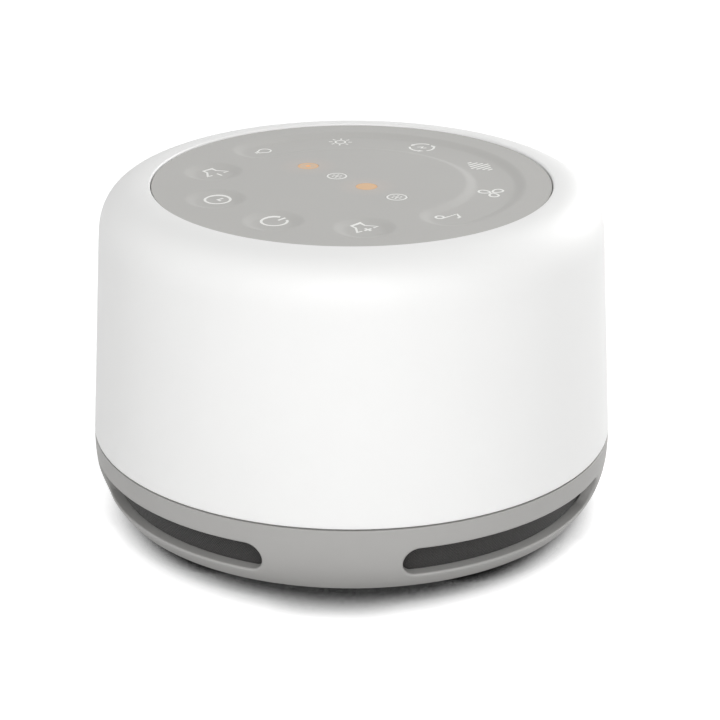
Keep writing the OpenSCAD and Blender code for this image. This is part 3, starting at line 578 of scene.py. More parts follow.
# Shrunk film sleeve over an aluminium can: smooth and glossy
capacitor_sleeve = grained("shrunk_film_sleeve", "#20303f", 0.25, 2, 0.004, IOR=1.57)
connector_nylon = grained("natural_nylon", "#ded9c8", 0.5, 0.6, 0.004, IOR=1.53)
# Flat film cable: tinned tracks on a 1.25 mm pitch show through white film
ribbon_film = striped("flat_film_cable", "#e8e8e6", "#b4b6b6", "X", 1.25, 0.35, 0.02, IOR=1.57)
# Stranded wire in soft vinyl: a black and a red lead side by side
speaker_wire = striped("black_and_red_vinyl_along_y", "#1c1c1e", "#b3261e", "Y", 12, 0.45, 0, IOR=1.53)
power_wire = striped("black_and_red_vinyl_along_x", "#1c1c1e", "#b3261e", "X", 12, 0.45, 0, IOR=1.53)
# White lamp chips: a pale body with yellow phosphor over the die
phosphor_lamp = grained("phosphor_lamp_chip", "#efe6b0", 0.35, 0.4, 0.004, IOR=1.53)
amber_lamp = grained("amber_lamp_chip", "#e8a860", 0.35, 0.4, 0.004, IOR=1.53)

NODE_MATERIALS = [
    (white_abs, ["key_plate", "core_housing"]),
    (grey_abs, ["bottom_cover"]),
    (black_abs, ["deck", "switch_bodies"] + ["plunger_" + name for name in KEY_NAMES]),
    (green_board, ["key_board", "main_board", "inlet_board"]),
    (white_board, ["light_board"]),
    (phosphor_lamp, ["night_lights"]),
    (amber_lamp, ["indicator_leds"]),
    (chip_epoxy, ["control_chip", "amplifier_chip", "socket_tongue"]),
    (capacitor_sleeve, ["capacitors"]),
    (connector_nylon, ["connectors"]),
    (ribbon_film, ["key_ribbon"]),
    (speaker_wire, ["speaker_leads"]),
    (power_wire, ["power_leads"]),
    (zinc_steel, ["board_screws", "case_screws", "cover_screws", "speaker_top_plate", "speaker_yoke"]),
    (foam, ["speaker_gasket"]),
    (black_steel, ["speaker_frame"]),
    (ferrite, ["speaker_magnet"]),
    (paper_pulp, ["speaker_cone", "dust_cap"]),
    (copper_winding, ["voice_coil"]),
]


def finish_nodes():
    """Gives each piece that stays as the frame has it the finish of its real material."""
    for material, nodes in NODE_MATERIALS:
        for node in nodes:
            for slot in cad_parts[node].material_slots:
                slot.material = material


# ---- Shell ----

def shoulder(low_r, top_r, low_z, top_z, slope, steps):
    """Points from the wall up round the shoulder to the rim. It starts on the wall's slope."""
    points = []
    for i in range(steps + 1):
        turn = math.radians(90 * i / steps)
        out = math.cos(turn) ** (2 / shoulder_curve) if i < steps else 0
        up = math.sin(turn) ** (2 / shoulder_curve)
        ease = slope * (top_z - low_z) * up * (1 - up) ** 2
        points.append((top_r + (low_r - top_r) * out - ease, low_z + (top_z - low_z) * up))
    return points


def diffuser_shell():
    """The opal shell: a skirt inside the base, a drafted wall, a round shoulder and the skin's ledge."""
    seam_edge = 0.3
    rim_edge = 0.35
    ledge_w = 3
    ledge_t = 1.5
    inner_edge = 0.2
    rim_root = 0.4
    skirt_gap = 0.2
    skirt_t = 1.2
    skirt_r = seam_r - base_t - skirt_gap
    skirt_in_r = skirt_r - skirt_t
    skirt_rise = 2.5
    wall_rows = (6, 14, 22, 30)
    shell_z = seam_z + seam_gap
    ledge_z = skin_z - ledge_t
    slope = wall_draft / (wall_z - shell_z)
    outside = shoulder(wall_top_r, rim_r + rim_edge, wall_z, crown_z, slope, 40)[:-1]
    inside = shoulder(wall_top_r - shell_t, rim_r - rim_root, wall_z, ledge_z, slope, 24)
    wall = [(seam_r - slope * h, shell_z + h) for h in wall_rows]
    corners = [(skirt_in_r, skirt_z, inner_edge), (skirt_r, skirt_z, inner_edge), (skirt_r, shell_z, 0),
               (seam_r, shell_z, seam_edge)]
    corners += [(r, z, 0) for r, z in wall + outside]
    corners += [(rim_r, crown_z, rim_edge), (rim_r, skin_z, 0), (rim_r - ledge_w, skin_z, inner_edge),
                (rim_r - ledge_w, ledge_z, inner_edge)]
    corners += [(r, z, 0) for r, z in reversed(inside)]
    corners += [(seam_r - shell_t, shell_z + skirt_rise, 0),
                (skirt_in_r, shell_z + skirt_rise, inner_edge)]
    piece = turned("diffuser_shell_opal", rounded(corners), opal_polycarbonate, segments=RIM_SIDES)
    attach(piece, "root")
    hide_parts("diffuser_shell")


# ---- Base ----

SIDE_STEPS, RUN_STEPS = 8, 7
QUARTER = 45


class Opening:
    """A bar with round ends, cut through one quarter of the base's wall. Its rim starts at the foot of its
    right end and goes round counter-clockwise, point for point with the quarter's own border."""

    def __init__(self, middle_z, half_turn, half_x, flat_steps):
        self.middle_z = middle_z
        self.half_turn = half_turn
        self.half_x = half_x
        middle_r = base_r(middle_z)
        end_turn = half_turn + math.degrees(math.asin(half_x / middle_r))
        room = math.radians(QUARTER - end_turn) * middle_r
        low, high = [math.degrees(math.atan2(z - middle_z, room)) for z in (wall_low_z, wall_high_z)]
        corners = np.cumsum([0, RUN_STEPS, SIDE_STEPS, RUN_STEPS])
        steps = np.arange(corners[-1] + 1)
        cap = np.interp(steps, corners, [-90, low, high, 90])
        cap_turn = np.interp(steps, corners, [end_turn, QUARTER, QUARTER, end_turn])
        cap_z = np.interp(steps, corners, [wall_low_z, wall_low_z, wall_high_z, wall_high_z])
        flat = np.linspace(1, -1, flat_steps + 1)[1:-1]
        self.angle = np.radians(np.concatenate([cap, flat * 0 + 90, 180 - cap[::-1], flat * 0 - 90]))
        self.side = np.concatenate([cap * 0 + 1, flat, cap * 0 - 1, -flat])
        self.border_turn = np.concatenate([cap_turn, flat * end_turn, -cap_turn[::-1], -flat * end_turn])
        self.border_z = np.concatenate([cap_z, flat * 0 + wall_high_z, cap_z[::-1], flat * 0 + wall_low_z])
        self.top = range(corners[2], len(cap) + len(flat) + RUN_STEPS + 1)
        self.bottom = [*range(len(cap) + len(flat) + corners[2], len(self.side)), *range(RUN_STEPS + 1)]

    def rim(self, radius, half_x=None):
        """Offsets along and up from the opening's middle line, at a rim of that end radius."""
        half_x = self.half_x if half_x is None else half_x
        return self.side * half_x + radius * np.cos(self.angle), self.middle_z + radius * np.sin(self.angle)

    def turn_and_z(self, radius, depth):
        """The rim as turns in degrees and heights on the wall, at a depth below its outer face."""
        x, z = self.rim(radius)
        return self.side * self.half_turn + np.degrees(np.arcsin(x / (base_r(z) - depth))), z

    def face(self, turn, z, depth, shares):
        """Rows on the wall's outer or inner face, from a rim out to the quarter's border by those shares.
        The inner face ends at the floor."""
        low_z = wall_in_z if depth else wall_low_z
        border_z = np.interp(self.border_z, [wall_low_z, wall_high_z], [low_z, wall_high_z])
        return [on_wall(eased(turn, self.border_turn, s), eased(z, border_z, s), depth) for s in shares]


def on_wall(turn, z, depth):
    """Points on the base's wall, at turns in degrees and heights, at a depth below its outer face."""
    r = base_r(z) - depth
    return np.column_stack([r * np.cos(np.radians(turn)), r * np.sin(np.radians(turn)), z])


def eased(start, end, share):
    return start + (end - start) * share


def quarter(mesh, opening, angle, rows):
    """One quarter of the base, from its inner border through the opening to its outer border, and round its
    upper and lower edges back to the inner border."""
    spin = Matrix.Rotation(math.radians(angle), 3, "Z")
    face = [mesh.row([spin @ Vector(p) for p in row]) for row in rows]
    mesh.strips(face)
    for indexes, outline in ((opening.top, top_edge()), (opening.bottom, bottom_edge())):
        turns = [opening.border_turn[i] + angle for i in indexes]
        edge = [mesh.row([(*polar(r, turn), z) for turn in turns]) for r, z in outline]
        mesh.strips([[face[-1][i] for i in indexes], *edge, [face[0][i] for i in indexes]], closed=False)


def top_edge():
    """Outline over the wall's upper edge, from the outer to the inner face."""
    out_r = base_r(wall_high_z)
    corners = [(out_r, wall_high_z, 0), (seam_r, seam_z, top_edge_r), (seam_r - base_t, seam_z, top_edge_r),
               (out_r - base_t, wall_high_z, 0)]
    return rounded(corners, closed=False, steps=4)[1:-1]


def bottom_edge():
    """Outline under the base: its lower lip, the cover's seat and the floor round the cover's opening."""
    lip, mouth_edge, seat_edge = 0.6, 0.2, 0.15
    mouth_gap, seat_w = 0.2, 7
    mouth_r, seat_r = cover_r + mouth_gap, cover_r - seat_w
    corners = [(base_r(wall_low_z), wall_low_z, 0), (seam_r - base_taper, base_z, lip),
               (mouth_r, base_z, mouth_edge), (mouth_r, cover_z, 0), (seat_r, cover_z, seat_edge),
               (seat_r, wall_in_z, seat_edge), (base_r(wall_in_z) - base_t, wall_in_z, 0)]
    return rounded(corners, closed=False, steps=5)[1:-1]


# How far each row over a rounded edge has come out, and how deep it lies, as shares of the edge's radius
EDGE_SHARES = [(1 - math.cos(t), 1 - math.sin(t)) for t in np.radians(np.linspace(0, 90, 7))]


def rim_rows(opening, radius, edge):
    """Rows from an opening's wall over its rounded edge to the outer face."""
    rows = []
    for out, down in EDGE_SHARES:
        turn, z = opening.turn_and_z(radius + edge * out, edge * down)
        rows.append(on_wall(turn, z, edge * down))
    return rows


def screw_posts(at, radius, low_z, high_z):
    """Four round posts on the base's floor, each with a hole for a screw."""
    edge = 0.2
    outline = rounded([(pilot_r, low_z, 0), (radius, low_z, 0), (radius, high_z, edge),
                       (pilot_r, high_z, edge)])
    post = turned("screw post", outline, grey_abs, segments=48)
    return ring_of(post, 4, at, 45, grey_abs)


def base_shell():
    """The grey base: a curved wall with three sound slots and the inlet's recess, round a ringed floor."""
    out_shares = (0.08, 0.2, 0.38, 0.6, 0.8, 1)
    recess_corner = 0.15
    room_share = 0.8
    mesh = Rows()

    end_r = slot_h / 2
    half_turn = slot_sweep / 2 - math.degrees(math.asin(end_r / base_r(slot_z)))
    slot = Opening(slot_z, half_turn, half_x=0, flat_steps=26)
    rows = slot.face(*slot.turn_and_z(end_r, base_t), base_t, (1, 0.5, 0))
    rows += rim_rows(slot, end_r, slot_edge)
    rows += slot.face(*slot.turn_and_z(end_r + slot_edge, 0), 0, out_shares)
    for angle in (-90, 0, 180):
        quarter(mesh, slot, angle, rows)

    recess_end = inlet_h / 2
    inlet = Opening(socket_z, half_turn=0, half_x=(inlet_w - inlet_h) / 2, flat_steps=6)
    x, z = inlet.rim(socket_h / 2 + socket_gap, (socket_w - socket_h) / 2)
    rows = inlet.face(np.degrees(np.arcsin(x / (base_r(z) - base_t))), z, base_t, (1, 0.6, 0.25, 0))
    corner_x, corner_z = inlet.rim(recess_end - recess_corner)
    rows += [np.column_stack([a * 0 + inlet_face, a, b]) for a, b in ((x, z), (corner_x, corner_z))]
    x, z = inlet.rim(recess_end)
    edge_r = np.minimum(inlet_edge, room_share * (np.sqrt(base_r(z) ** 2 - x ** 2) - inlet_face))
    for out, down in EDGE_SHARES:
        x, z = inlet.rim(recess_end + edge_r * out)
        rows.append(np.column_stack([np.sqrt(base_r(z) ** 2 - x ** 2) - edge_r * down, x, z]))
    rows += inlet.face(np.degrees(np.arcsin(x / base_r(z))), z, 0, out_shares)
    quarter(mesh, inlet, 90, rows)

    wall = even_shading(solid("base wall", mesh.points, mesh.faces, grey_abs), crease=40)
    posts = screw_posts(post_at, post_r, wall_in_z, deck_z)
    bosses = screw_posts(boss_at, boss_r, wall_in_z, boss_top_z)
    piece = joined("base_shell_moulding", [wall, posts, bosses])
    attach(piece, "root")
    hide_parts("base_shell")


# ---- Keypad ----

def key_place(i):
    """Middle of a key on the ring."""
    return polar(key_ring_r, FIRST_KEY_ANGLE + KEY_STEP * i)


LENS_PLACES = [((i - 1.5) * lens_pitch, 0) for i in range(4)]


def recess_distance(x, y):
    """Distance from the middle line of the nearest recess: a lone key's middle, or the rear half's arc."""
    ends = np.minimum(np.hypot(x - key_ring_r, y), np.hypot(x + key_ring_r, y))
    nearest = np.where(y > 0, np.abs(np.hypot(x, y) - key_ring_r), ends)
    for i in range(len(KEY_NAMES)):
        if i not in ARC_KEYS:
            at_x, at_y = key_place(i)
            nearest = np.minimum(nearest, np.hypot(x - at_x, y - at_y))
    return nearest


def skin_height(x, y):
    """Height of the skin's face."""
    part = np.clip((recess_distance(x, y) - dish_floor_r) / (dish_edge_r - dish_floor_r), 0, 1)
    return dish_low_z + dish_depth * part * part * (3 - 2 * part)


def key_height(i):
    """Height of the face of a key, which joins the skin at its edge and is hollow in its middle."""
    at_x, at_y = key_place(i)

    def height(x, y):
        part = np.clip(np.hypot(x - at_x, y - at_y) / patch_r, 0, 1)
        return skin_height(x, y) - key_hollow * (1 - part * part) ** 2
    return height


def lens_height(x, y):
    return x * 0 + skin_top_z


def set_face_normals(obj, height):
    """Gives a piece's upper face the true slope of its height, and leaves the rest as it is."""
    low_z = (dish_z - cap_t / 2) * MM
    level = 0.7
    step = 0.01
    mesh = obj.data
    mesh.shade_smooth()
    mesh.set_sharp_from_angle(angle=math.radians(CREASE))
    upper = np.array([p.normal.z > level and p.center.z > low_z for p in mesh.polygons])
    points = np.array([v.co for v in mesh.vertices], float) / MM
    x, y = points[[loop.vertex_index for loop in mesh.loops], :2].T
    slope_x = (height(x + step, y) - height(x - step, y)) / (2 * step)
    slope_y = (height(x, y + step) - height(x, y - step)) / (2 * step)
    normals = unit(np.column_stack([-slope_x, -slope_y, x * 0 + 1]))
    normals[~np.repeat(upper, [p.loop_total for p in mesh.polygons])] = 0
    mesh.normals_split_custom_set(normals.tolist())


def filled(outline, holes, loose, shapes):
    """Triangles that fill an outline around its holes and through its loose points, and for each triangle
    the number of the last shape that covers it, or 0."""
    points, faces = [], []
    for ring in [outline, *holes, *shapes]:
        faces.append(list(range(len(points), len(points) + len(ring))))
        points.extend(ring)
    points.extend(loose)
    flat, _, triangles, _, _, origins = delaunay_2d_cdt([Vector(p) for p in points], [], faces, 1, 1e-5)
    kept, covered = [], []
    first_shape = 1 + len(holes)
    for triangle, origin in zip(triangles, origins):
        if 0 in origin and not any(0 < n < first_shape for n in origin):
            kept.append(triangle)
            covered.append(max(max(origin) - first_shape + 1, 0))
    used = sorted({n for t in kept for n in t})
    place = {n: i for i, n in enumerate(used)}
    return np.array([flat[n] for n in used]), [[place[n] for n in t] for t in kept], covered


def on_circle(flat, centre, radius):
    """Indexes of the points on a circle, in order round it."""
    offset = flat - np.array(centre)
    near = np.flatnonzero(np.abs(np.hypot(*offset.T) - radius) < MERGE_REACH)
    return near[np.argsort(np.arctan2(offset[near, 1], offset[near, 0]))]


def band(points, width, closed=False):
    """Quads along a line of that width, with mitred corners."""
    least = 0.5
    path = np.array(points, float)
    count = len(path)
    before = np.roll(path, 1, axis=0)
    after = np.roll(path, -1, axis=0)
    if not closed:
        before[0] = 2 * path[0] - path[1]
        after[-1] = 2 * path[-1] - path[-2]
    ahead = unit(after - path)
    along = unit(ahead + unit(path - before))
    side = np.column_stack([-along[:, 1], along[:, 0]])
    side *= width / 2 / np.maximum(np.abs(ahead * along).sum(1), least)[:, None]
    left, right = path + side, path - side
    quads = [[tuple(p) for p in (right[i - 1], right[i], left[i], left[i - 1])] for i in range(count)]
    return quads[1:] + quads[:1] if closed else quads[1:]


def hoop(centre, radius, count, width):
    return band(circle(centre, radius, count), width, closed=True)


def icon(name):
    """Shapes of a key's printed mark, around its middle, with +Y up."""
    line, bold, thin = 0.42, 0.5, 0.34
    if name == "timer":
        return hoop((0, 0), 2.35, 48, bold) + band([(0, 1.3), (0, 0), (0.95, 0)], line)
    if name == "power":
        return band(arc((0, 0), 2.35, 113, 427, 40), bold) + band([(0, 0.9), (0, 2.6)], bold)
    if name in ("volume_up", "volume_down"):
        horn = [(0.95, 1.3), (0.95, 2.45), (-1.1, 1.05), (-2.3, 1.05)]
        shapes = band(horn + [(x, -y) for x, y in reversed(horn)], line)
        if name == "volume_down":
            return shapes + band([(0.6, 0), (2.2, 0)], line)
        return shapes + band([(0.15, 0), (1.85, 0)], bold) + band([(1.0, -0.85), (1.0, 0.85)], bold)
    if name == "music":
        stem = [(-0.1, -1.4), (-0.1, 2.2), (0.7, 1.7), (1.5, 1.4), (1.6, 0.7)]
        return hoop((-0.85, -1.45), 0.75, 20, line) + band(stem, line)
    if name == "fan":
        shapes = []
        for turn in (90, 210, 330):
            spin = Matrix.Rotation(math.radians(turn), 2)
            petal = [(0.35 + 1.1 * (1 - x), 0.62 * y * (1.35 - 0.35 * x)) for x, y in circle((0, 0), 1, 24)]
            shapes += band([spin @ Vector(p) for p in petal], line, closed=True)
        return shapes
    if name == "waves":
        heights = (1, 2.4, 3.4, 4.6, 3.6, 2.2, 1.2)
        return [quad for n, h in enumerate(heights)
                for quad in band([((n - 3) * 0.95, -h / 2), ((n - 3) * 0.95, h / 2)], line)]
    if name == "cycle":
        shapes = band([(-0.75, -0.5), (-0.2, 0.45), (0.25, -0.35), (0.8, 0.5)], thin)
        for start in (100, 220, 340):
            shapes += band(arc((0, 0), 2.4, start, start + 82, 12), line)
            shapes.append([polar(2.4, start + 106), polar(1.9, start + 80), polar(2.9, start + 80)])
        return shapes
    if name == "brightness":
        shapes = hoop((0, 0), 1.0, 24, thin)
        for turn in range(0, 360, 45):
            shapes += band([polar(1.55, turn), polar(2.3, turn)], thin)
        return shapes
    bulb = arc((0, 0.55), 1.2, -55, 235, 24) + [(-0.45, -1.1), (0.45, -1.1)]
    return band(bulb, thin, closed=True) + band([(-0.4, -1.6), (0.4, -1.6)], thin)


def window_marks(lens):
    """Shapes of a window's mark: a ring alone, with a spot, or with petals and a spot. The spot is last."""
    shapes = hoop((0, 0), 1.8, 40, 0.36)
    if lens == DISC_LENS:
        return shapes
    if lens == RING_LENS:
        return shapes + [circle((0, 0), 0.5, 16)]
    shapes += [circle(middle, 0.22, 10) for middle in circle((0, 0), 0.82, 6)]
    return shapes + [circle((0, 0), 0.34, 12)]


def moved(shapes, at):
    return [[(x + at[0], y + at[1]) for x, y in shape] for shape in shapes]


def keypad_skin():
    """The soft skin: one arc-shaped and four round recesses, round holes for keys and windows."""
    edge = 0.25
    fine, coarse = 0.36, 1.1
    slope_margin, rim_margin, key_margin, lens_margin = 0.2, 0.4, 0.15, 0.28
    reach = skin_r - edge
    holes = [(key_place(i), patch_r, KEY_SIDES, key_margin) for i in range(len(KEY_NAMES))]
    holes += [(place, lens_r + lens_gap, LENS_SIDES, lens_margin) for place in LENS_PLACES]
    loose = []
    for step, near in ((fine, True), (coarse, False)):
        rows = np.arange(-skin_r, skin_r, step * math.sqrt(3) / 2)
        x, y = np.meshgrid(np.arange(-skin_r, skin_r, step), rows)
        x = x + (np.arange(len(rows)) % 2)[:, None] * step / 2
        x, y = x.ravel(), y.ravel()
        distance = recess_distance(x, y)
        sloped = (distance > dish_floor_r - slope_margin) & (distance < dish_edge_r + slope_margin)
        clear = np.hypot(x, y) < reach - rim_margin
        for at, radius, _, margin in holes:
            clear &= np.hypot(x - at[0], y - at[1]) > radius + margin
        chosen = clear & (sloped == near)
        loose += list(zip(x[chosen], y[chosen]))
    rings = [circle(at, radius, sides) for at, radius, sides, _ in holes]
    flat, triangles, _ = filled(circle((0, 0), reach, RIM_SIDES), rings, loose, [])
    mesh = Rows()
    top = mesh.row(np.column_stack([flat, skin_height(*flat.T)]))
    bottom = mesh.row(np.column_stack([flat, np.full(len(flat), skin_z)]))
    mesh.faces += [[top[n] for n in t] for t in triangles]
    mesh.faces += [[bottom[n] for n in reversed(t)] for t in triangles]
    rim = on_circle(flat, (0, 0), reach)
    around = flat[rim] / reach
    rows = [[top[n] for n in rim]]
    sides = arc((reach, skin_top_z - edge), edge, 90, 0, 4)[1:]
    sides += [(r, skin_z + skin_top_z - z) for r, z in reversed(sides)]
    for r, z in sides:
        rows.append(mesh.row(np.column_stack([around * r, np.full(len(rim), z)])))
    rows.append([bottom[n] for n in rim])
    mesh.strips(rows)
    for at, radius, _, _ in holes:
        ring = on_circle(flat, at, radius)
        mesh.strip([top[n] for n in ring], [bottom[n] for n in ring])
    piece = solid("keypad_skin_silicone", mesh.points, mesh.faces, grey_silicone)
    set_face_normals(piece, skin_height)
    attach(piece, "root")
    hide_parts("keypad_skin")


def faced_plug(name, at, radius, count, height, shapes, below, materials):
    """A closed round piece with a printed upper face. Its body goes down along radii and heights."""
    ring_count = 8
    loose = [at]
    for n in range(1, ring_count):
        loose += circle(at, radius * n / ring_count, ring_count * n)
    flat, triangles, covered = filled(circle(at, radius, count), [], loose, shapes)
    mesh = Rows()
    top = mesh.row(np.column_stack([flat, height(*flat.T)]))
    mesh.faces += [[top[n] for n in t] for t in triangles]
    rim = on_circle(flat, at, radius)
    start = [flat[n] - np.array(at) for n in rim]
    rows = [[top[n] for n in rim]]
    for r, z in below:
        rows.append(mesh.row([(at[0] + p[0] / radius * r, at[1] + p[1] / radius * r, z) for p in start]))
    mesh.strips(rows)
    mesh.faces.append(rows[-1])
    piece = solid(name, mesh.points, mesh.faces, *materials)
    for polygon, shape in zip(piece.data.polygons, covered):
        polygon.material_index = len(materials) - 1 if shape == len(shapes) else min(shape, 1)
    set_face_normals(piece, height)
    return piece


def keys():
    """Ten keys, each a soft patch of the skin with its printed mark, on a stiff cap and stem."""
    lip = 0.2
    below = [(patch_r - lip, dish_low_z - lip), (key_r, dish_low_z - 2 * lip), (key_r, dish_z - cap_t),
             (stem_r, dish_z - cap_t), (stem_r, stem_z)]
    for i, name in enumerate(KEY_NAMES):
        mark_at = Vector(key_place(i)) * (1 - mark_inset / key_ring_r) + Vector(mark_shift)
        piece = faced_plug("key_" + name + "_soft", key_place(i), patch_r, KEY_SIDES, key_height(i),
                           moved(icon(name), mark_at), below, (grey_silicone, white_ink))
        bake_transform(piece)
        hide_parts("key_" + name)


WINDOW_MATERIALS = {RING_LENS: (dim_film, amber_mark, amber_dot), DISC_LENS: (lit_film, amber_mark)}


def windows():
    """Four windows on their light guides: the first a lit ring, the third a lit disc, the others dark."""
    lip = 0.08
    below = [(lens_r, skin_top_z - lip), (lens_r, skin_z), (guide_r, skin_z), (guide_r, guide_z)]
    panes = []
    for i, place in enumerate(LENS_PLACES):
        materials = WINDOW_MATERIALS.get(i, (grey_silicone, white_ink))
        panes.append(faced_plug("window", place, lens_r - lip, LENS_SIDES, lens_height,
                                moved(window_marks(i), place), below, materials))
    piece = joined("indicator_windows", panes)
    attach(piece, "root")
    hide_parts("indicator_lenses")


# ---- Under the base, behind its slots and in its inlet ----

def feet():
    """Four pads of rubber with a shallow hollow under each."""
    hollow_r, ring_r = 2.6, 3.2
    hollow_h = 0.35
    hollow_edge, foot_edge, back_edge = 0.3, 0.45, 0.1
    outline = rounded([(0, hollow_h, 0), (hollow_r, hollow_h, hollow_edge), (ring_r, 0, hollow_edge),
                       (foot_r, 0, foot_edge), (foot_r, foot_top_z, back_edge), (0, foot_top_z, 0)],
                      closed=False)
    foot = turned("foot", outline, rubber, closed=False, segments=64)
    piece = ring_of(foot, 4, foot_at, 0, rubber)
    piece.name = "rubber_feet_pads"
    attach(piece, "root")
    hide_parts("rubber_feet")


def liner():
    """Gauze stretched round the inside of the wall, behind the slots, with its ends beside the inlet."""
    liner_t = 0.45
    edge = 0.1
    start, sweep = 120, 300
    inner_r = liner_r - liner_t
    outline = rounded([(inner_r, floor_z, edge), (liner_r, floor_z, edge), (liner_r, deck_z, edge),
                       (inner_r, deck_z, edge)], steps=3)
    piece = turned("slot_liner_gauze", outline, acoustic_gauze, start=start, sweep=sweep)
    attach(piece, "root")
    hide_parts("slot_liner")


def socket():
    """The power socket's drawn steel shell, with a rounded lip round its mouth."""
    wall = 0.3
    half_x = (socket_w - socket_h) / 2
    lip = [(wall / 2 * (1 - math.cos(t)), wall / 2 * math.sin(t)) for t in np.linspace(0, math.pi, 9)]
    outline = [(0, socket_back)] + [(inset, socket_front - wall / 2 + rise) for inset, rise in lip]
    outline.append((wall, socket_floor))
    mesh = Rows()
    rows = []
    for inset, y in outline:
        radius = socket_h / 2 - inset
        ring = arc((half_x, socket_z), radius, -90, 90, 16) + arc((-half_x, socket_z), radius, 90, 270, 16)
        rows.append(mesh.row([(x, y, z) for x, z in ring]))
    mesh.strips(rows)
    mesh.faces += [rows[0][::-1], rows[-1]]
    piece = even_shading(solid("power_socket_shell", mesh.points, mesh.faces, nickel_steel))
    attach(piece, "root")
    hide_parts("power_socket")


# ---- Soft parts of the loudspeaker ----

def rolled(r1, z1, r2, z2, depth, waves, steps):
    """Points along waves that hang under a straight line."""
    return [(r1 + (r2 - r1) * part, z1 + (z2 - z1) * part - depth * math.sin(math.pi * waves * part))
            for part in np.linspace(0, 1, steps + 1)]


def sheet_outline(line, thickness):
    """A line of points from the axis outwards, given a thickness."""
    path = np.array(line)
    along = unit(np.gradient(path, axis=0))
    side = np.column_stack([-along[:, 1], along[:, 0]]) * thickness / 2
    return [tuple(p) for p in np.concatenate([path - side, (path + side)[::-1]])]


def surround():
    """The half roll of rubber between the cone's edge and the frame."""
    thickness = 0.33
    flat = 1.4
    roll_depth = 1.6
    outer_flat = 1.1
    cone_line, frame_line = cone_rim_z - thickness / 2, speaker_z - thickness / 2
    seat_r = surround_r - outer_flat
    line = [(cone_r - flat, cone_line)] + rolled(cone_r, cone_line, seat_r, frame_line, roll_depth, 1, 28)
    line.append((surround_r, frame_line))
    piece = turned("speaker_surround_roll", sheet_outline(line, thickness), nitrile)
    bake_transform(piece)
    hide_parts("speaker_surround")


def spider():
    """The rippled cloth that centres the voice coil."""
    thickness = 0.33
    rise = 1.2
    fit = 0.01
    neck_r, seat_r = 7.5, 15
    ripple_depth, ripples = 0.6, 7
    low = spider_z + thickness / 2
    line = [(former_r + fit, low + rise)]
    line += rolled(neck_r, low + rise, seat_r, low, ripple_depth, ripples, 84) + [(spider_r, low)]
    piece = turned("speaker_spider_cloth", sheet_outline(line, thickness), resin_cotton)
    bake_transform(piece)
    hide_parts("speaker_spider")


# ---- Stage, light and camera ----

CAMERA_AZIMUTH = 49.2


def empty_tree(owner):
    owner.use_nodes = True
    owner.node_tree.nodes.clear()
    return owner.node_tree


def openness(tree, lean):
    """How much room is free over a point of the floor, looked at with a lean to the back in degrees."""
    reach = 12
    back = direction(CAMERA_AZIMUTH + 180, 90 - lean)
    way = add(tree, "ShaderNodeCombineXYZ", dict(zip("XYZ", back)))
    settings = {"Distance": reach * MM, "samples": 24}
    return add(tree, "ShaderNodeAmbientOcclusion", settings, {"Normal": way}).outputs["AO"]


def stage():
    """A white floor and a plain soft light. The floor is seen white. Its lit share keeps the lamps' shadow,
    and both its shares darken where the machine stands over it, the more so in front: a painted shadow,
    drawn from how much room is free over the floor."""
    half = 6
    front_lean, side_lean, side_weight = 45, 80, 2
    # Their weighed sum where the floor counts as covered, and where it counts as free
    covered, free = 1.245, 2.1
    brightest, falloff = 1.4, 0.7
    lit_share, plain_share = 0.45, 0.6
    room_strength = 0.47
    floor_mesh = bpy.data.meshes.new("floor")
    floor_mesh.from_pydata([(-half, -half, 0), (half, -half, 0), (half, half, 0), (-half, half, 0)], [],
                           [(0, 1, 2, 3)])
    floor = new_object("floor", floor_mesh)
    material = bpy.data.materials.new("white_floor")
    tree = empty_tree(material)
    seen = seen_directly(tree)
    matt = add(tree, "ShaderNodeBsdfDiffuse", {"Color": (0.8, 0.8, 0.8, 1)})
    # Painted shadow: the white that the camera sees darkens with the room that is free over the floor
    front = openness(tree, front_lean)
    sides = openness(tree, side_lean)
    both = add(tree, "ShaderNodeMath", {"operation": "MULTIPLY_ADD", 1: side_weight}, {0: sides, 2: front})
    spread = add(tree, "ShaderNodeMapRange", {"From Min": covered, "From Max": free, "To Max": brightest},
                 {"Value": both})
    painted_shadow = add(tree, "ShaderNodeMath", {"operation": "POWER", 1: falloff}, {0: spread})
    lit, plain = [add(tree, "ShaderNodeMath", {"operation": "MULTIPLY", 1: share}, {0: painted_shadow})
                  for share in (lit_share, plain_share)]
    lit = add(tree, "ShaderNodeBsdfDiffuse", {}, {"Color": lit})
    plain = add(tree, "ShaderNodeEmission", {}, {"Strength": plain})
    white = add(tree, "ShaderNodeAddShader", {}, {0: lit, 1: plain})
    mix = add(tree, "ShaderNodeMixShader", {}, {0: seen, 1: matt, 2: white})
    add(tree, "ShaderNodeOutputMaterial", {}, {"Surface": mix})
    floor_mesh.materials.append(material)

    world = bpy.data.worlds.new("soft room")
    bpy.context.scene.world = world
    tree = empty_tree(world)
    seen = seen_directly(tree)
    room = add(tree, "ShaderNodeBackground", {"Color": (1, 1, 1, 1), "Strength": room_strength})
    white = add(tree, "ShaderNodeBackground", {"Color": (1, 1, 1, 1), "Strength": 1})
    mix = add(tree, "ShaderNodeMixShader", {}, {0: seen, 1: room, 2: white})
    add(tree, "ShaderNodeOutputWorld", {}, {"Surface": mix})

    softbox("front lamp", azimuth=49, elevation=30, distance=1.1, size=0.8, power=6.1)
    softbox("left lamp", azimuth=22, elevation=30, distance=1.0, size=0.7, power=0.5)
    softbox("back lamp", azimuth=190, elevation=20, distance=1.0, size=0.5, power=3.7)
    softbox("rim lamp", azimuth=175, elevation=12, distance=1.0, size=0.5, power=0.9)


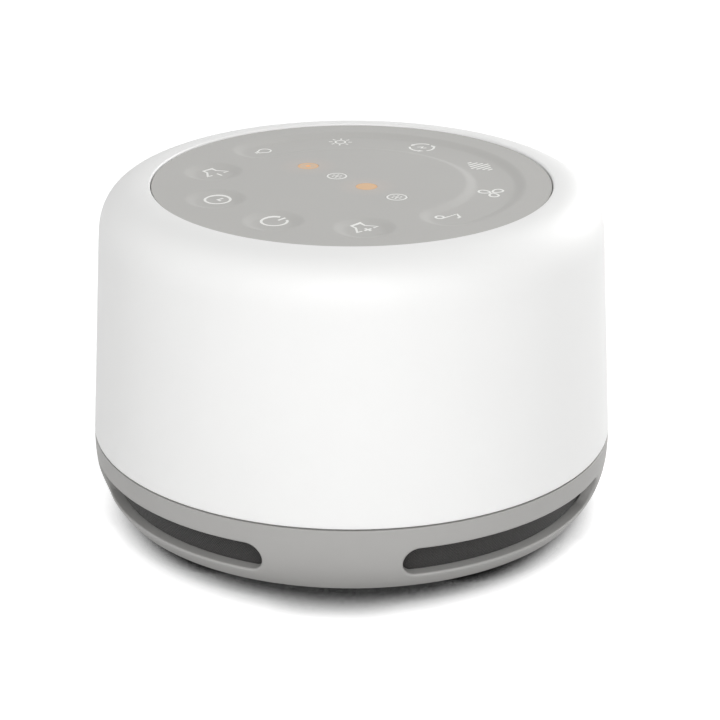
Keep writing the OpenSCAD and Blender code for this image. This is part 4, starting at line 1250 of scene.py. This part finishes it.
def seen_directly(tree):
    """1 for rays from the camera, and for those that gloss and glass send on."""
    path = add(tree, "ShaderNodeLightPath").outputs
    largest = {"operation": "MAXIMUM"}
    either = add(tree, "ShaderNodeMath", largest, {0: path["Is Camera Ray"], 1: path["Is Glossy Ray"]})
    return add(tree, "ShaderNodeMath", largest, {0: either, 1: path["Is Transmission Ray"]})


def direction(azimuth, elevation):
    """Unit vector towards a place around the machine. Azimuth 0 is in front of it and 90 to its right."""
    a, e = math.radians(azimuth), math.radians(elevation)
    return Vector((math.sin(a) * math.cos(e), -math.cos(a) * math.cos(e), math.sin(e)))


def softbox(name, azimuth, elevation, distance, size, power):
    light = bpy.data.lights.new(name, "AREA")
    light.shape = "SQUARE"
    light.size = size
    light.energy = power
    lamp = new_object(name, light)
    back = direction(azimuth, elevation)
    lamp.location = back * distance + Vector((0, 0, crown_z / 2 * MM))
    lamp.rotation_euler = back.to_track_quat("Z", "Y").to_euler()


def camera():
    """The photograph's viewpoint, fitted to the edges of the machine in its 720 by 720 pixels."""
    image_px = 720
    focal_px = 2281.2
    middle_px = 351.64
    pitch, distance, aim_over_seam = 22.05, 442.3, 12.25
    data = bpy.data.cameras.new("camera")
    data.sensor_width = 36
    data.lens = focal_px / image_px * data.sensor_width
    data.shift_x = (image_px / 2 - middle_px) / image_px
    data.clip_start = 0.01
    data.clip_end = 20
    eye = new_object("camera", data)
    back = direction(CAMERA_AZIMUTH, pitch)
    eye.location = Vector((0, 0, (seam_z + aim_over_seam) * MM)) + back * distance * MM
    eye.rotation_euler = back.to_track_quat("Z", "Y").to_euler()
    bpy.context.scene.camera = eye


# Painted glow on the skin round the two lit windows
lit_places = [(*LENS_PLACES[i], skin_top_z) for i in (RING_LENS, DISC_LENS)]
painted_light_leak(grey_silicone, lit_places, reach=6, colour="#ff9a3a", strength=0.03)
camera()
stage()
finish_nodes()
diffuser_shell()
base_shell()
keypad_skin()
keys()
windows()
feet()
liner()
socket()
surround()
spider()

bpy.context.scene.view_settings.view_transform = "Standard"
bpy.context.view_layer.update()
